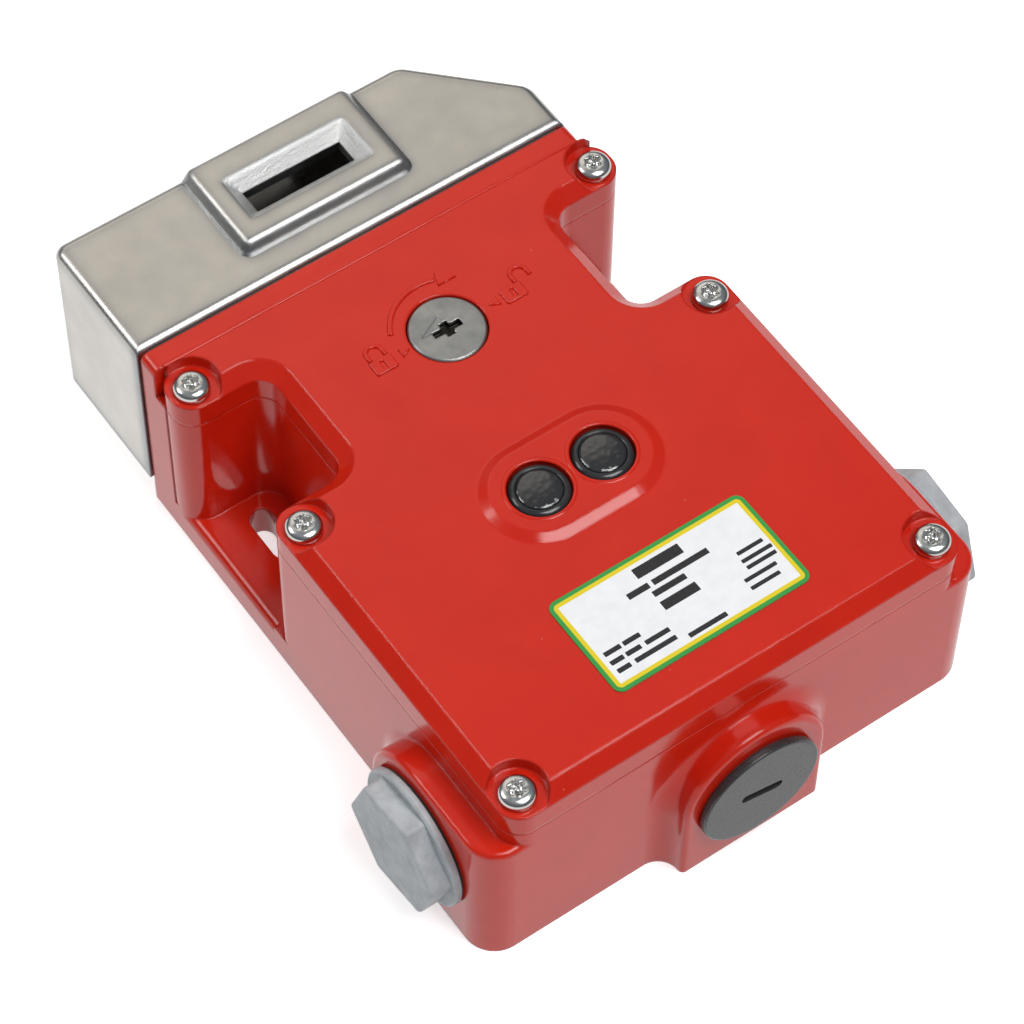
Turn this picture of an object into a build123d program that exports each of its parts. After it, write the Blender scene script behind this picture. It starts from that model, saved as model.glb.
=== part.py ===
from build123d import *
import os
from math import atan2, cos, degrees, hypot, pi, radians, sin

os.makedirs("parts", exist_ok=True)

# A tongue interlock switch with guard locking, lying on its back. Millimetres.
# The origin is on the back face, midway between the two fixing slots.
# +Z is up through the cover, +Y runs towards the steel head, +X is across the body.

# Fits between pieces
running_gap = 0.3
seat_gap = 0.1
thread_gap = 0.05

# Fixing feet
fixing_spacing = 85.0
fixing_slot_width = 5.5
fixing_slot_length = 14.0
foot_thickness = 8.5
foot_edge_radius = 2.0

# Body outline
body_width = 110.0
conduit_end_y = -104.5
cover_end_y = 22.0
end_wall_thickness = 5.0
end_wall_right_inset = 3.7
neck_width = 70.8
recess_start_y = -19.5
recess_end_y = 10.6
outer_corner_radius = 5.2
recess_corner_radius = 5.0

# Body heights and walls
floor_thickness = 3.5
wall = 3.5
seam_z = 42.4
end_wall_top_z = 51.0

# Cover
cover_side_height = 6.0
cover_chamfer_drop = 3.0
cover_chamfer_width = 3.3
cover_roof = 3.4

# Lid screws, M4 pan heads in round pockets
lid_screw_inset = 5.0
lid_screw_front_inset = 5.5
lid_screw_recess_inset = 6.2
lid_screw_pocket_radius = 6.1
lid_screw_radius = 2.0
lid_screw_head_radius = 3.85
lid_screw_head_height = 2.5
lid_screw_length = 16.0
earth_screw_length = 6.0
short_screw_length = 4.0
lid_boss_radius = 6.5

# Sealing cords
gasket_inset = 0.8
gasket_width = 1.6
gasket_depth = 1.2
head_gasket_thickness = 0.6

# Conduit entries
entry_axis_z = 19.3
entry_bore_radius = 10.1
entry_clearance = 0.1
side_entry_y = -81.8
side_boss_reach = 6.0
side_boss_half_width = 17.3
side_boss_flare = 5.2
side_boss_corner_radius = 7.0
end_boss_reach = 6.0
end_boss_half_width = 17.3
end_boss_flare = 5.0
end_boss_flare_top_z = 41.4
boss_top_z = 38.4
boss_edge_radius = 1.2

# Entry plugs
plug_shank_length = 10.0
plug_bore_radius = 7.6
plug_ring_radius = 15.5
plug_ring_thickness = 1.7
plug_hex_across_flats = 25.6
plug_hex_height = 4.7
plug_hex_turn = 10.0
plug_washer_thickness = 0.6
plug_washer_radius = 15.0
end_plug_radius = 14.1
end_plug_thickness = 1.5
end_plug_washer_radius = 13.3
end_plug_slot_length = 10.4
end_plug_slot_width = 2.2
end_plug_slot_depth = 1.0
end_plug_slot_turn = -14.0

# Head casting
head_overhang = 0.6
head_depth = 33.4
head_bottom_z = 7.0
head_top_z = 51.2
head_wall = 3.0
head_corner_cut = 20.4
head_corner_radius = 5.0
head_left_radius = 3.0
head_edge_radius = 2.2
head_screw_x = 27.0
head_screw_zs = (14.0, 38.0)
head_screw_length = 20.0
head_screw_rib = 5.0
tongue_centre_x = -3.0
tongue_boss_foot = 42.6
tongue_boss_rise = 2.6
tongue_boss_slope = 2.0
tongue_boss_margin = 6.5
tongue_boss_root = 6.0
tongue_boss_corner_radius = 2.5
tongue_boss_edge_radius = 1.2
tongue_slot_length = 24.2
tongue_slot_width = 6.0
tongue_slot_depth = 24.0
tongue_lead_in = 3.0
tongue_inset = 13.4

# Cam wheel turned by the tongue
cam_axis_y = 42.0
cam_axis_z = 29.0
cam_radius = 10.7
cam_hub_radius = 5.6
cam_pin_radius = 2.5
cam_disc_offset = 16.0
cam_disc_width = 6.0
cam_room_gap = 1.4
cam_room_depth = 14.7
cam_middle_width = 14.0
cam_slot_width = 4.8
cam_slot_floor = 6.4
cam_turn_angle = 45.0

# Contact plunger and lock slide, side by side
rod_radius = 4.0
plunger_travel = 4.0
plunger_collar_radius = 6.6
plunger_collar_y = 4.0
plunger_collar_length = 3.0
guide_y = -19.0
guide_thickness = 3.0
guide_foot_thickness = 3.0
guide_foot_length = 9.0
guide_width = 18.0
guide_rise = 8.0
guide_corner_radius = 4.0
guide_screw_spacing = 10.0
guide_screw_inset = 5.0
lock_flange_radius = 7.0
lock_flange_y = -20.0
lock_flange_length = 3.0
lock_travel = 3.0
seal_radius = 7.4
seal_length = 3.0

# Emergency release, turned half a turn
release_y = -3.0
release_disc_radius = 8.25
release_disc_thickness = 3.0
release_shaft_radius = 4.9
release_boss_radius = 11.0
release_boss_bottom_z = 43.2
release_square = 6.4
release_cam_low_radius = 5.0
release_cam_bottom_z = 36.0
release_cam_thickness = 4.0
release_recess_depth = 1.6
release_seal_z = 46.2
release_clip_thickness = 0.7
follower_pin_radius = 1.5

# Solenoid
solenoid_width = 30.0
solenoid_front_y = -30.0
solenoid_length = 38.0
solenoid_plate = 2.0
bobbin_tube_radius = 6.6
bobbin_flange_thickness = 1.5
bobbin_lip = 0.6
winding_depth = 2.5
armature_radius = 5.0
armature_stub_radius = 2.8
armature_stub_length = 6.0
solenoid_ear_length = 7.5
solenoid_ear_width = 20.0

# Contact block
contact_block_width = 26.0
contact_block_length = 32.0
contact_block_bottom_z = 9.5
contact_block_top_z = 41.0
contact_block_wall = 2.0
contact_block_floor = 8.0
contact_block_screw_floor = 3.0
contact_block_screw_inset = 5.2
contact_pad_width = 20.0
contact_pad_depth = 8.0
carriage_side_room = 7.0
carriage_height = 16.0
carriage_length = 19.0
carriage_tail = 4.0
carriage_pin_radius = 3.0
bridge_thickness = 1.2
bridge_height = 4.0
bridge_rows = (-52.0, -43.0)
bridge_rise = 3.6
contact_rivet_height = 0.6

# Terminal board
board_y = (-97.0, -77.5)
board_side_gap = 13.0
board_bottom_z = 12.0
board_thickness = 1.6
terminal_pitch = 5.0
terminal_depth = 9.0
terminal_height = 10.0
terminal_row_gap = 4.0
terminal_screw_radius = 1.8
terminal_screw_height = 3.0
terminal_screw_sink = 1.0
terminal_slot_width = 0.7
terminal_slot_depth = 0.8
terminal_mouth = (3.2, 5.0)
terminal_mouth_sill = 1.5
terminal_mouth_height = 3.5
earth_inset = 13.0
earth_y = -50.0
earth_boss_height = 4.5
earth_boss_radius = 5.0

# Indicator lamps in a raised oval
lamp_y = -46.4
lamp_spacing = 15.4
lamp_oval_radius = 10.2
lamp_oval_shoulder = 2.2
lamp_oval_rise = 1.0
lamp_hole_radius = 6.9
bezel_outer_radius = 6.5
bezel_inner_radius = 4.9
bezel_top_z = 50.6
bezel_collar_height = 1.2
lens_dome_height = 1.4
lens_recess = 0.3
lens_rim_thickness = 0.8
lens_wall = 0.9
lamp_board_top_z = 46.0
lamp_height = 2.4
lamp_radius = 2.4
lamp_foot_radius = 2.9
lamp_foot_height = 0.8
lamp_board_half_width = 24.0
lamp_board_half_depth = 8.0
lamp_post_x = 19.5
lamp_post_radius = 3.0

# Rating plate
plate_centre = (1.0, -81.4)
plate_size = (47.0, 24.4)
plate_thickness = 0.3
plate_corner_radius = 2.0

# Small screws inside, M3
small_screw_radius = 1.5
small_screw_head_radius = 2.9
small_screw_head_height = 1.8
small_screw_length = 8.0
board_post_radius = 3.2
board_post_inset = 4.0

# Sizes that follow from the ones above
half_width = body_width / 2
recess_wall_x = neck_width / 2
end_wall_right_x = half_width - end_wall_right_inset
cover_shoulder_z = seam_z + cover_side_height
cover_top_z = cover_shoulder_z + cover_chamfer_drop
cover_inside_z = cover_top_z - cover_roof
end_wall_y = cover_end_y + end_wall_thickness
neck_half_width = recess_wall_x - wall
neck_end_y = cover_end_y - wall
chamber_end_y = recess_start_y - wall
head_front_y = end_wall_y + head_gasket_thickness
head_back_y = head_front_y + head_depth
head_left_x = -half_width - head_overhang
head_right_x = end_wall_right_x
tongue_y = head_back_y - tongue_inset
tongue_offset = tongue_y - cam_axis_y
tongue_rear_z = cam_axis_z - tongue_offset
plunger_x = tongue_centre_x - cam_disc_offset
lock_x = tongue_centre_x + cam_disc_offset
plunger_nose_y = cam_axis_y - cam_radius - running_gap
release_cam_high_radius = release_cam_low_radius + lock_travel
follower_y = release_y - release_cam_low_radius - running_gap - follower_pin_radius
solenoid_back_y = solenoid_front_y - solenoid_length
winding_radius = bobbin_tube_radius + winding_depth
bobbin_flange_radius = winding_radius + bobbin_lip
solenoid_height = 2 * (bobbin_flange_radius + running_gap + solenoid_plate)
solenoid_bottom_z = cam_axis_z - solenoid_height / 2
contact_block_front_y = solenoid_front_y
contact_block_back_y = contact_block_front_y - contact_block_length
release_clip_z = release_boss_bottom_z - release_clip_thickness - running_gap
release_cam_top_z = release_cam_bottom_z + release_cam_thickness
release_shoulder_z = cover_top_z - release_disc_thickness
head_screw_places = [(side * head_screw_x, z) for side in (-1, 1) for z in head_screw_zs]
rib_outer = head_screw_x + head_screw_rib
cam_pin_right_x = rib_outer - head_screw_rib
cam_room_half = cam_disc_offset + cam_disc_width / 2 + cam_room_gap
earth_place = (half_width - earth_inset, earth_y)
earth_boss_top_z = floor_thickness + earth_boss_height
bridge_z = cam_axis_z + bridge_rise
carriage_width = contact_block_width - 2 * carriage_side_room
carriage_back_y = bridge_rows[0] - carriage_tail
carriage_front_y = carriage_back_y + carriage_length
board_top_z = board_bottom_z + board_thickness
board_half_width = half_width - board_side_gap
terminal_room = board_half_width - 2 * board_post_inset - terminal_row_gap / 2
terminal_count = int(terminal_room / terminal_pitch)
terminal_y = (board_y[0] + board_y[1]) / 2
board_post_places = [
    (side * (board_half_width - board_post_inset), y)
    for side in (-1, 1)
    for y in (board_y[0] + board_post_inset, board_y[1] - board_post_inset)
]
solenoid_screw_places = [
    (lock_x, solenoid_front_y + solenoid_ear_length / 2 + 0.5),
    (lock_x, solenoid_back_y - solenoid_ear_length / 2 - 0.5),
]
contact_block_screw_places = [
    (plunger_x, contact_block_front_y - contact_block_screw_inset),
    (plunger_x, contact_block_back_y + contact_block_screw_inset),
]
guide_end_y = guide_y + guide_thickness
guide_screw_places = [
    (plunger_x + side * guide_screw_spacing / 2, guide_end_y + guide_screw_inset)
    for side in (-1, 1)
]
lid_screw_places = [
    (side * (half_width - lid_screw_inset), y)
    for y in (
        conduit_end_y + lid_screw_front_inset,
        recess_start_y - lid_screw_recess_inset,
        recess_end_y + lid_screw_inset,
    )
    for side in (-1, 1)
]


# Simple solids placed by their limits
def block(x0, x1, y0, y1, z0, z1):
    centre = Pos((x0 + x1) / 2, (y0 + y1) / 2, (z0 + z1) / 2)
    return centre * Box(x1 - x0, y1 - y0, z1 - z0)


def rod_x(radius, x0, x1, y, z):
    return Pos((x0 + x1) / 2, y, z) * Rot(0, 90, 0) * Cylinder(radius, x1 - x0)


def rod_y(radius, y0, y1, x, z):
    return Pos(x, (y0 + y1) / 2, z) * Rot(90, 0, 0) * Cylinder(radius, y1 - y0)


def rod_z(radius, z0, z1, x, y):
    return Pos(x, y, (z0 + z1) / 2) * Cylinder(radius, z1 - z0)


def polar(radius, angle):
    return (radius * cos(radians(angle)), radius * sin(radians(angle)))


def group(solids):
    return Compound(children=list(solids))


def save(name, shape):
    export_step(shape, f"parts/{name}.step")


# Outlines seen from above
def corners_near(face, places):
    return [
        v
        for v in face.vertices()
        if any(hypot(v.X - x, v.Y - y) < 0.01 for x, y in places)
    ]


def body_outline(end_y):
    """Rectangle with a recess in each long side, rounded at its corners."""
    right = [
        (half_width, conduit_end_y),
        (half_width, recess_start_y),
        (recess_wall_x, recess_start_y),
        (recess_wall_x, recess_end_y),
        (half_width, recess_end_y),
        (half_width, end_y),
    ]
    left = [(-x, y) for x, y in reversed(right)]
    face = make_face(Polyline(*right, *left, close=True))
    inner = [p for p in right + left if abs(p[0]) == recess_wall_x]
    outer = [p for p in right + left if abs(p[0]) == half_width]
    face = fillet(corners_near(face, inner), recess_corner_radius)
    return fillet(corners_near(face, outer), outer_corner_radius)


def chamber_outline():
    """Inside of the body: a wide chamber, a neck between the recesses, and the screw bosses."""
    chamber_depth = chamber_end_y - conduit_end_y - wall
    chamber_centre = chamber_end_y - chamber_depth / 2
    chamber = Pos(0, chamber_centre) * RectangleRounded(
        2 * (half_width - wall), chamber_depth, recess_corner_radius / 2
    )
    neck_depth = neck_end_y - chamber_centre
    neck = Pos(0, chamber_centre + neck_depth / 2) * Rectangle(2 * neck_half_width, neck_depth)
    face = chamber + neck
    for x, y in lid_screw_places[:4]:
        face -= Pos(x, y) * Circle(lid_boss_radius)
    return face


def gasket_ring():
    chamber = chamber_outline()
    outside = offset(chamber, amount=gasket_inset + gasket_width)
    inside = offset(chamber, amount=gasket_inset)
    return extrude(outside - inside, amount=gasket_depth)


# Cast housing
def flare(reach, inner_radius, outer_radius, centre_z):
    """Quarter of the hollow-curved skirt that blends an arched boss into its wall."""
    rise = reach - boss_edge_radius
    width = outer_radius - inner_radius
    arc_share = 1 - cos(pi / 4)
    section = make_face(
        [
            Line((0, -wall / 2), (outer_radius, -wall / 2)),
            Line((outer_radius, -wall / 2), (outer_radius, 0)),
            ThreePointArc(
                (outer_radius, 0),
                (inner_radius + arc_share * width, arc_share * rise),
                (inner_radius, rise),
            ),
            Line((inner_radius, rise), (0, rise)),
            Line((0, rise), (0, -wall / 2)),
        ]
    )
    upright = Plane(origin=(0, 0, 0), x_dir=(1, 0, 0), z_dir=(0, -1, 0))
    bell = revolve(upright * section, Axis.Z, 90)
    return bell + extrude(upright * section, amount=centre_z)


def side_boss():
    """Thick wall round a side entry: an arched end and a flat ledge that runs to the corner."""
    back_y = side_entry_y + side_boss_half_width
    face_x = half_width + side_boss_reach
    profile = make_face(
        Polyline(
            (conduit_end_y, 0),
            (back_y, 0),
            (back_y, boss_top_z),
            (conduit_end_y, boss_top_z),
            close=True,
        )
    )
    profile = fillet(corners_near(profile, [(back_y, boss_top_z)]), side_boss_half_width)
    side_view = Plane(origin=(0, 0, 0), x_dir=(0, 1, 0), z_dir=(1, 0, 0))
    solid = extrude(side_view * profile, amount=face_x)
    depth = back_y - conduit_end_y
    plan = Pos(0, conduit_end_y + depth / 2) * Rectangle(2 * face_x, depth)
    plan = fillet(corners_near(plan, [(face_x, conduit_end_y)]), side_boss_corner_radius)
    solid = solid & extrude(plan, amount=boss_top_z)
    rim = solid.edges().filter_by(lambda e: e.center().X > half_width + side_boss_reach * 0.5)
    rim = rim.filter_by(lambda e: e.center().Z > 1 and e.center().Y > conduit_end_y + 0.1)
    rim = rim.filter_by(lambda e: e.center().Z > boss_top_z - 0.1 or e.center().X > face_x - 0.1)
    bend_y = conduit_end_y + side_boss_corner_radius
    rim = rim.filter_by(lambda e: e.center().Y > bend_y or e.center().Z > boss_top_z / 2)
    solid = fillet(rim, boss_edge_radius)
    outer = side_boss_half_width + side_boss_flare
    centre_z = boss_top_z - outer
    skirt = flare(side_boss_reach, side_boss_half_width, outer, centre_z)
    wall_view = Plane(
        origin=(half_width, side_entry_y, centre_z), x_dir=(0, 1, 0), z_dir=(1, 0, 0)
    )
    return solid + wall_view * skirt


def end_boss():
    """Arched boss round the entry in the conduit end."""
    arch_z = boss_top_z - end_boss_half_width
    profile = Pos(0, arch_z) * Circle(end_boss_half_width)
    profile += Pos(0, arch_z / 2) * Rectangle(2 * end_boss_half_width, arch_z)
    solid = Pos(0, 0, -wall / 2) * extrude(profile, amount=end_boss_reach + wall / 2)
    rim = solid.edges().filter_by(
        lambda e: abs(e.center().Z - end_boss_reach) < 0.01 and e.center().Y > 1
    )
    solid = fillet(rim, boss_edge_radius)
    outer = end_boss_half_width + end_boss_flare
    centre_z = end_boss_flare_top_z - outer
    half = flare(end_boss_reach, end_boss_half_width, outer, centre_z)
    half = Pos(0, centre_z, 0) * half
    solid += half + half.mirror(Plane.YZ)
    end_view = Plane(origin=(0, conduit_end_y, 0), x_dir=(1, 0, 0), z_dir=(0, -1, 0))
    return end_view * solid


def make_housing():
    foot_depth = end_wall_y - conduit_end_y
    foot_face = Pos(0, conduit_end_y + foot_depth / 2) * Rectangle(body_width, foot_depth)
    front = [(-half_width, conduit_end_y), (half_width, conduit_end_y)]
    foot_face = fillet(corners_near(foot_face, front), outer_corner_radius)
    foot = extrude(foot_face, amount=foot_thickness)
    foot -= block(
        end_wall_right_x, half_width + 1, cover_end_y, end_wall_y + 1, -1, foot_thickness + 1
    )
    edges = foot.edges().filter_by(Axis.Y).filter_by(
        lambda e: abs(e.center().Z - foot_thickness) < 0.01 and abs(e.center().X) > half_width - 0.01
    )
    foot = fillet(edges, foot_edge_radius)
    side = (-half_width, half_width)
    conduit_start_y = conduit_end_y + outer_corner_radius
    front_start_y = recess_end_y + outer_corner_radius
    foot += block(*side, conduit_start_y, recess_start_y, 0, foot_thickness)
    foot += block(*side, front_start_y, cover_end_y, 0, foot_thickness)
    shape = foot + extrude(body_outline(cover_end_y), amount=seam_z)

    shape += side_boss() + side_boss().mirror(Plane.YZ) + end_boss()

    end_wall = block(-half_width, end_wall_right_x, neck_end_y, end_wall_y, 0, seam_z)
    end_wall += block(-half_width, end_wall_right_x, cover_end_y, end_wall_y, 0, end_wall_top_z)
    ends = end_wall.edges().filter_by(Axis.Y).filter_by(
        lambda e: abs(e.center().Z - end_wall_top_z) < 0.01
    )
    shape += fillet(ends, foot_edge_radius)

    inside = extrude(chamber_outline(), amount=seam_z)
    shape -= Pos(0, 0, floor_thickness) * inside
    shape -= Pos(0, 0, seam_z - gasket_depth) * gasket_ring()
    shape -= block(*side, neck_end_y - 1, cover_end_y, seam_z, end_wall_top_z + 1)

    # Pads under the feet of the solenoid
    for x, y in solenoid_screw_places:
        pad_half = solenoid_ear_length / 2
        shape += block(
            x - solenoid_ear_width / 2,
            x + solenoid_ear_width / 2,
            y - pad_half,
            y + pad_half,
            floor_thickness - 1,
            solenoid_bottom_z,
        )
        hole_z = solenoid_bottom_z - small_screw_length
        shape -= rod_z(small_screw_radius + thread_gap, hole_z, solenoid_bottom_z + 1, x, y)

    # Pads under the contact block
    for x, y in contact_block_screw_places:
        pad = block(
            x - contact_pad_width / 2,
            x + contact_pad_width / 2,
            y - contact_pad_depth / 2,
            y + contact_pad_depth / 2,
            floor_thickness - 1,
            contact_block_bottom_z,
        )
        hole_top = contact_block_bottom_z + 1
        shape += pad - rod_z(small_screw_radius + thread_gap, floor_thickness, hole_top, x, y)

    # Posts under the terminal board, and the earthing boss
    for x, y in board_post_places:
        shape += rod_z(board_post_radius, floor_thickness - 1, board_bottom_z, x, y)
        shape -= rod_z(small_screw_radius + thread_gap, floor_thickness, board_bottom_z + 1, x, y)
    shape += rod_z(earth_boss_radius, floor_thickness - 1, earth_boss_top_z, *earth_place)
    shape -= rod_z(lid_screw_radius + thread_gap, 1.0, earth_boss_top_z + 1, *earth_place)

    # Threaded holes under the plunger guide
    for x, y in guide_screw_places:
        hole_z = floor_thickness + guide_foot_thickness - short_screw_length - seat_gap
        shape -= rod_z(small_screw_radius + thread_gap, hole_z, floor_thickness + 1, x, y)

    # Conduit entries
    boss_face = half_width + side_boss_reach
    bore_start = half_width - wall - 1
    side_axis = (side_entry_y, entry_axis_z)
    shape -= rod_x(entry_bore_radius, -boss_face - 1, -bore_start, *side_axis)
    shape -= rod_x(entry_bore_radius, bore_start, boss_face + 1, *side_axis)
    end_face = conduit_end_y - end_boss_reach
    shape -= rod_y(entry_bore_radius, end_face - 1, conduit_end_y + wall + 1, 0, entry_axis_z)

    # Lid screw holes
    for x, y in lid_screw_places:
        depth = cover_shoulder_z - lid_screw_length - 1
        shape -= rod_z(lid_screw_radius + thread_gap, depth, seam_z + 1, x, y)

    # Passages for the two rods, their seals, and the head screws
    for x in (plunger_x, lock_x):
        shape -= rod_y(rod_radius + running_gap, neck_end_y - 1, end_wall_y + 1, x, cam_axis_z)
        shape -= rod_y(seal_radius, neck_end_y - 1, neck_end_y + seal_length, x, cam_axis_z)
    for x, z in head_screw_places:
        shape -= rod_y(lid_screw_radius + seat_gap, neck_end_y - 1, end_wall_y + 1, x, z)

    # Fixing slots through the feet
    for x in (-fixing_spacing / 2, fixing_spacing / 2):
        slot = Rot(0, 0, 90) * SlotOverall(fixing_slot_length, fixing_slot_width)
        shape -= Pos(x, 0, -1) * extrude(slot, amount=foot_thickness + 2)
    return shape


# Cast cover
def make_cover():
    height = cover_top_z - seam_z
    shape = extrude(body_outline(cover_end_y), amount=height)
    longer = extrude(body_outline(cover_end_y + 4 * cover_chamfer_width), amount=height)
    top = longer.faces().sort_by(Axis.Z)[-1]
    longer = chamfer(top.edges(), cover_chamfer_width, cover_chamfer_drop, reference=top)
    shape = Pos(0, 0, seam_z) * (shape & longer)
    inside = extrude(chamber_outline(), amount=cover_inside_z - seam_z)
    shape -= Pos(0, 0, seam_z) * inside
    for x, y in lid_screw_places:
        shape -= rod_z(lid_screw_radius + seat_gap, seam_z - 1, cover_top_z + 1, x, y)
        shape -= rod_z(lid_screw_pocket_radius, cover_shoulder_z, cover_top_z + 1, x, y)

    # Boss and counterbore for the release
    shape += rod_z(release_boss_radius, release_boss_bottom_z, cover_inside_z + 1, 0, release_y)
    shape -= rod_z(release_shaft_radius + running_gap, seam_z, cover_top_z + 1, 0, release_y)
    counterbore_z = cover_top_z - release_disc_thickness - running_gap
    shape -= rod_z(release_disc_radius + running_gap, counterbore_z, cover_top_z + 1, 0, release_y)

    # Raised oval round the two lamps
    outer_length = lamp_spacing + 2 * (lamp_oval_radius + lamp_oval_shoulder)
    oval = Pos(0, lamp_y) * SlotOverall(outer_length, 2 * (lamp_oval_radius + lamp_oval_shoulder))
    raised = extrude(oval, amount=1 + lamp_oval_rise)
    rim = raised.faces().sort_by(Axis.Z)[-1]
    raised = chamfer(rim.edges(), lamp_oval_shoulder, lamp_oval_rise, reference=rim)
    shape += Pos(0, 0, cover_top_z - 1) * raised
    for x in (-lamp_spacing / 2, lamp_spacing / 2):
        shape -= rod_z(lamp_hole_radius, bezel_top_z - bezel_collar_height, cover_top_z + 5, x, lamp_y)
        shape -= rod_z(bezel_outer_radius - 0.6, seam_z, cover_top_z, x, lamp_y)
    for x in (-lamp_post_x, lamp_post_x):
        shape += rod_z(lamp_post_radius, lamp_board_top_z, cover_inside_z + 1, x, lamp_y)
        hole_top = lamp_board_top_z - board_thickness + short_screw_length + seat_gap
        shape -= rod_z(small_screw_radius + thread_gap, seam_z, hole_top, x, lamp_y)
    return shape


def make_cover_gasket():
    return Pos(0, 0, seam_z - gasket_depth) * gasket_ring()


# Screws
def pan_screw(radius, head_radius, head_height, length, recess_radius):
    """Pan-head screw standing on its seat at z = 0, with a shallow round recess in the head."""
    profile = make_face(
        [
            Line((0, -length), (radius, -length)),
            Line((radius, -length), (radius, 0)),
            Line((radius, 0), (head_radius, 0)),
            Line((head_radius, 0), (head_radius, head_height * 0.45)),
            ThreePointArc(
                (head_radius, head_height * 0.45),
                (head_radius * 0.86, head_height * 0.8),
                (head_radius * 0.55, head_height),
            ),
            Line((head_radius * 0.55, head_height), (recess_radius, head_height)),
            Line((recess_radius, head_height), (recess_radius, head_height * 0.45)),
            Line((recess_radius, head_height * 0.45), (0, head_height * 0.45)),
            Line((0, head_height * 0.45), (0, -length)),
        ]
    )
    return revolve(Plane.XZ * profile, Axis.Z)


def m4_screw(length):
    head = lid_screw_head_radius
    return pan_screw(lid_screw_radius, head, lid_screw_head_height, length, head * 0.45)


def m3_screw(length):
    head = small_screw_head_radius
    return pan_screw(small_screw_radius, head, small_screw_head_height, length, head * 0.45)


def lid_screw():
    return m4_screw(lid_screw_length)


def head_screw():
    return m4_screw(head_screw_length)


def earth_screw():
    return m4_screw(earth_screw_length)


def small_screw():
    return m3_screw(small_screw_length)


def short_screw():
    return m3_screw(short_screw_length)


# Steel head
def head_profile():
    face = make_face(
        Polyline(
            (head_left_x, head_front_y),
            (head_right_x, head_front_y),
            (head_right_x, head_back_y - head_corner_cut),
            (head_right_x - head_corner_cut, head_back_y),
            (head_left_x, head_back_y),
            close=True,
        )
    )
    cut = [
        (head_right_x, head_back_y - head_corner_cut),
        (head_right_x - head_corner_cut, head_back_y),
    ]
    face = fillet(corners_near(face, cut), head_corner_radius)
    return fillet(corners_near(face, [(head_left_x, head_back_y)]), head_left_radius)


def tongue_boss():
    """Raised pad round the upper entry, with sloping flanks, that runs out over the rear edge."""
    depth = head_back_y - tongue_y + tongue_slot_width / 2 + tongue_lead_in + tongue_boss_margin
    foot = Rectangle(tongue_boss_foot, 2 * depth)
    foot = fillet(foot.vertices(), tongue_boss_corner_radius)
    pad = extrude(foot, amount=tongue_boss_rise + tongue_boss_root)
    top = pad.faces().sort_by(Axis.Z)[-1]
    pad = chamfer(top.edges(), tongue_boss_slope, tongue_boss_rise, reference=top)
    pad = fillet(pad.faces().sort_by(Axis.Z)[-1].edges(), tongue_boss_edge_radius)
    pad = Pos(tongue_centre_x, head_back_y, head_top_z - tongue_boss_root) * pad
    reach = (head_front_y, head_back_y, 0, head_top_z + 2 * tongue_boss_rise)
    pad = pad & block(-half_width, half_width, *reach)
    rear = pad.edges().filter_by(lambda e: abs(e.center().Y - head_back_y) < 0.01)
    return fillet(rear.sort_by(Axis.Z)[-1], head_edge_radius)


def tongue_entry():
    """Tongue slot with a bevelled lead-in, opening at z = 0."""
    hole = Box(tongue_slot_length, tongue_slot_width, tongue_slot_depth)
    hole = Pos(0, 0, -tongue_slot_depth / 2) * hole
    widening = 2 * tongue_lead_in
    mouth = Rectangle(tongue_slot_length + widening, tongue_slot_width + widening)
    throat = Pos(0, 0, -tongue_lead_in) * Rectangle(tongue_slot_length, tongue_slot_width)
    return hole + loft([throat.face(), mouth.face()])


def make_head():
    shape = extrude(head_profile(), amount=head_top_z - head_bottom_z)
    top = shape.faces().sort_by(Axis.Z)[-1]
    shape = fillet(top.edges(), head_edge_radius)
    shape = Pos(0, 0, head_bottom_z) * shape
    shape += tongue_boss()

    # Cam chamber, and the cored pockets beside it that open towards the housing
    cam_room = block(
        tongue_centre_x - cam_room_half,
        tongue_centre_x + cam_room_half,
        head_front_y + head_wall,
        head_back_y - head_wall,
        cam_axis_z - cam_room_depth,
        head_top_z - head_wall,
    )
    shape -= cam_room
    pocket_z = (head_bottom_z + head_wall, head_top_z - head_wall)
    pocket_start_y = head_front_y - 1
    left_pocket = (head_left_x + head_wall, -rib_outer)
    shape -= block(*left_pocket, pocket_start_y, head_back_y - head_wall, *pocket_z)
    pocket_end_y = head_back_y - head_corner_cut - 1
    right_pocket = (rib_outer, head_right_x - head_wall)
    shape -= block(*right_pocket, pocket_start_y, pocket_end_y, *pocket_z)

    shape -= Pos(tongue_centre_x, tongue_y, head_top_z + tongue_boss_rise) * tongue_entry()
    shape -= Pos(tongue_centre_x, head_back_y, tongue_rear_z) * Rot(-90, 0, 0) * tongue_entry()
    for x in (plunger_x, lock_x):
        hole_end = head_front_y + head_wall + 1
        shape -= rod_y(rod_radius + running_gap, head_front_y - 1, hole_end, x, cam_axis_z)
    for x, z in head_screw_places:
        depth = neck_end_y + head_screw_length + 1
        shape -= rod_y(lid_screw_radius + thread_gap, head_front_y - 1, depth, x, z)
    pin_hole = cam_pin_radius + thread_gap
    shape -= rod_x(pin_hole, -rib_outer - 1, cam_pin_right_x, cam_axis_y, cam_axis_z)
    return shape


def make_head_gasket():
    shape = block(
        -half_width, end_wall_right_x, end_wall_y, head_front_y, head_bottom_z, end_wall_top_z - 0.2
    )
    for x in (plunger_x, lock_x):
        shape -= rod_y(rod_radius + running_gap, end_wall_y - 1, head_front_y + 1, x, cam_axis_z)
    for x, z in head_screw_places:
        shape -= rod_y(lid_screw_radius + seat_gap, end_wall_y - 1, head_front_y + 1, x, z)
    return shape


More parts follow.
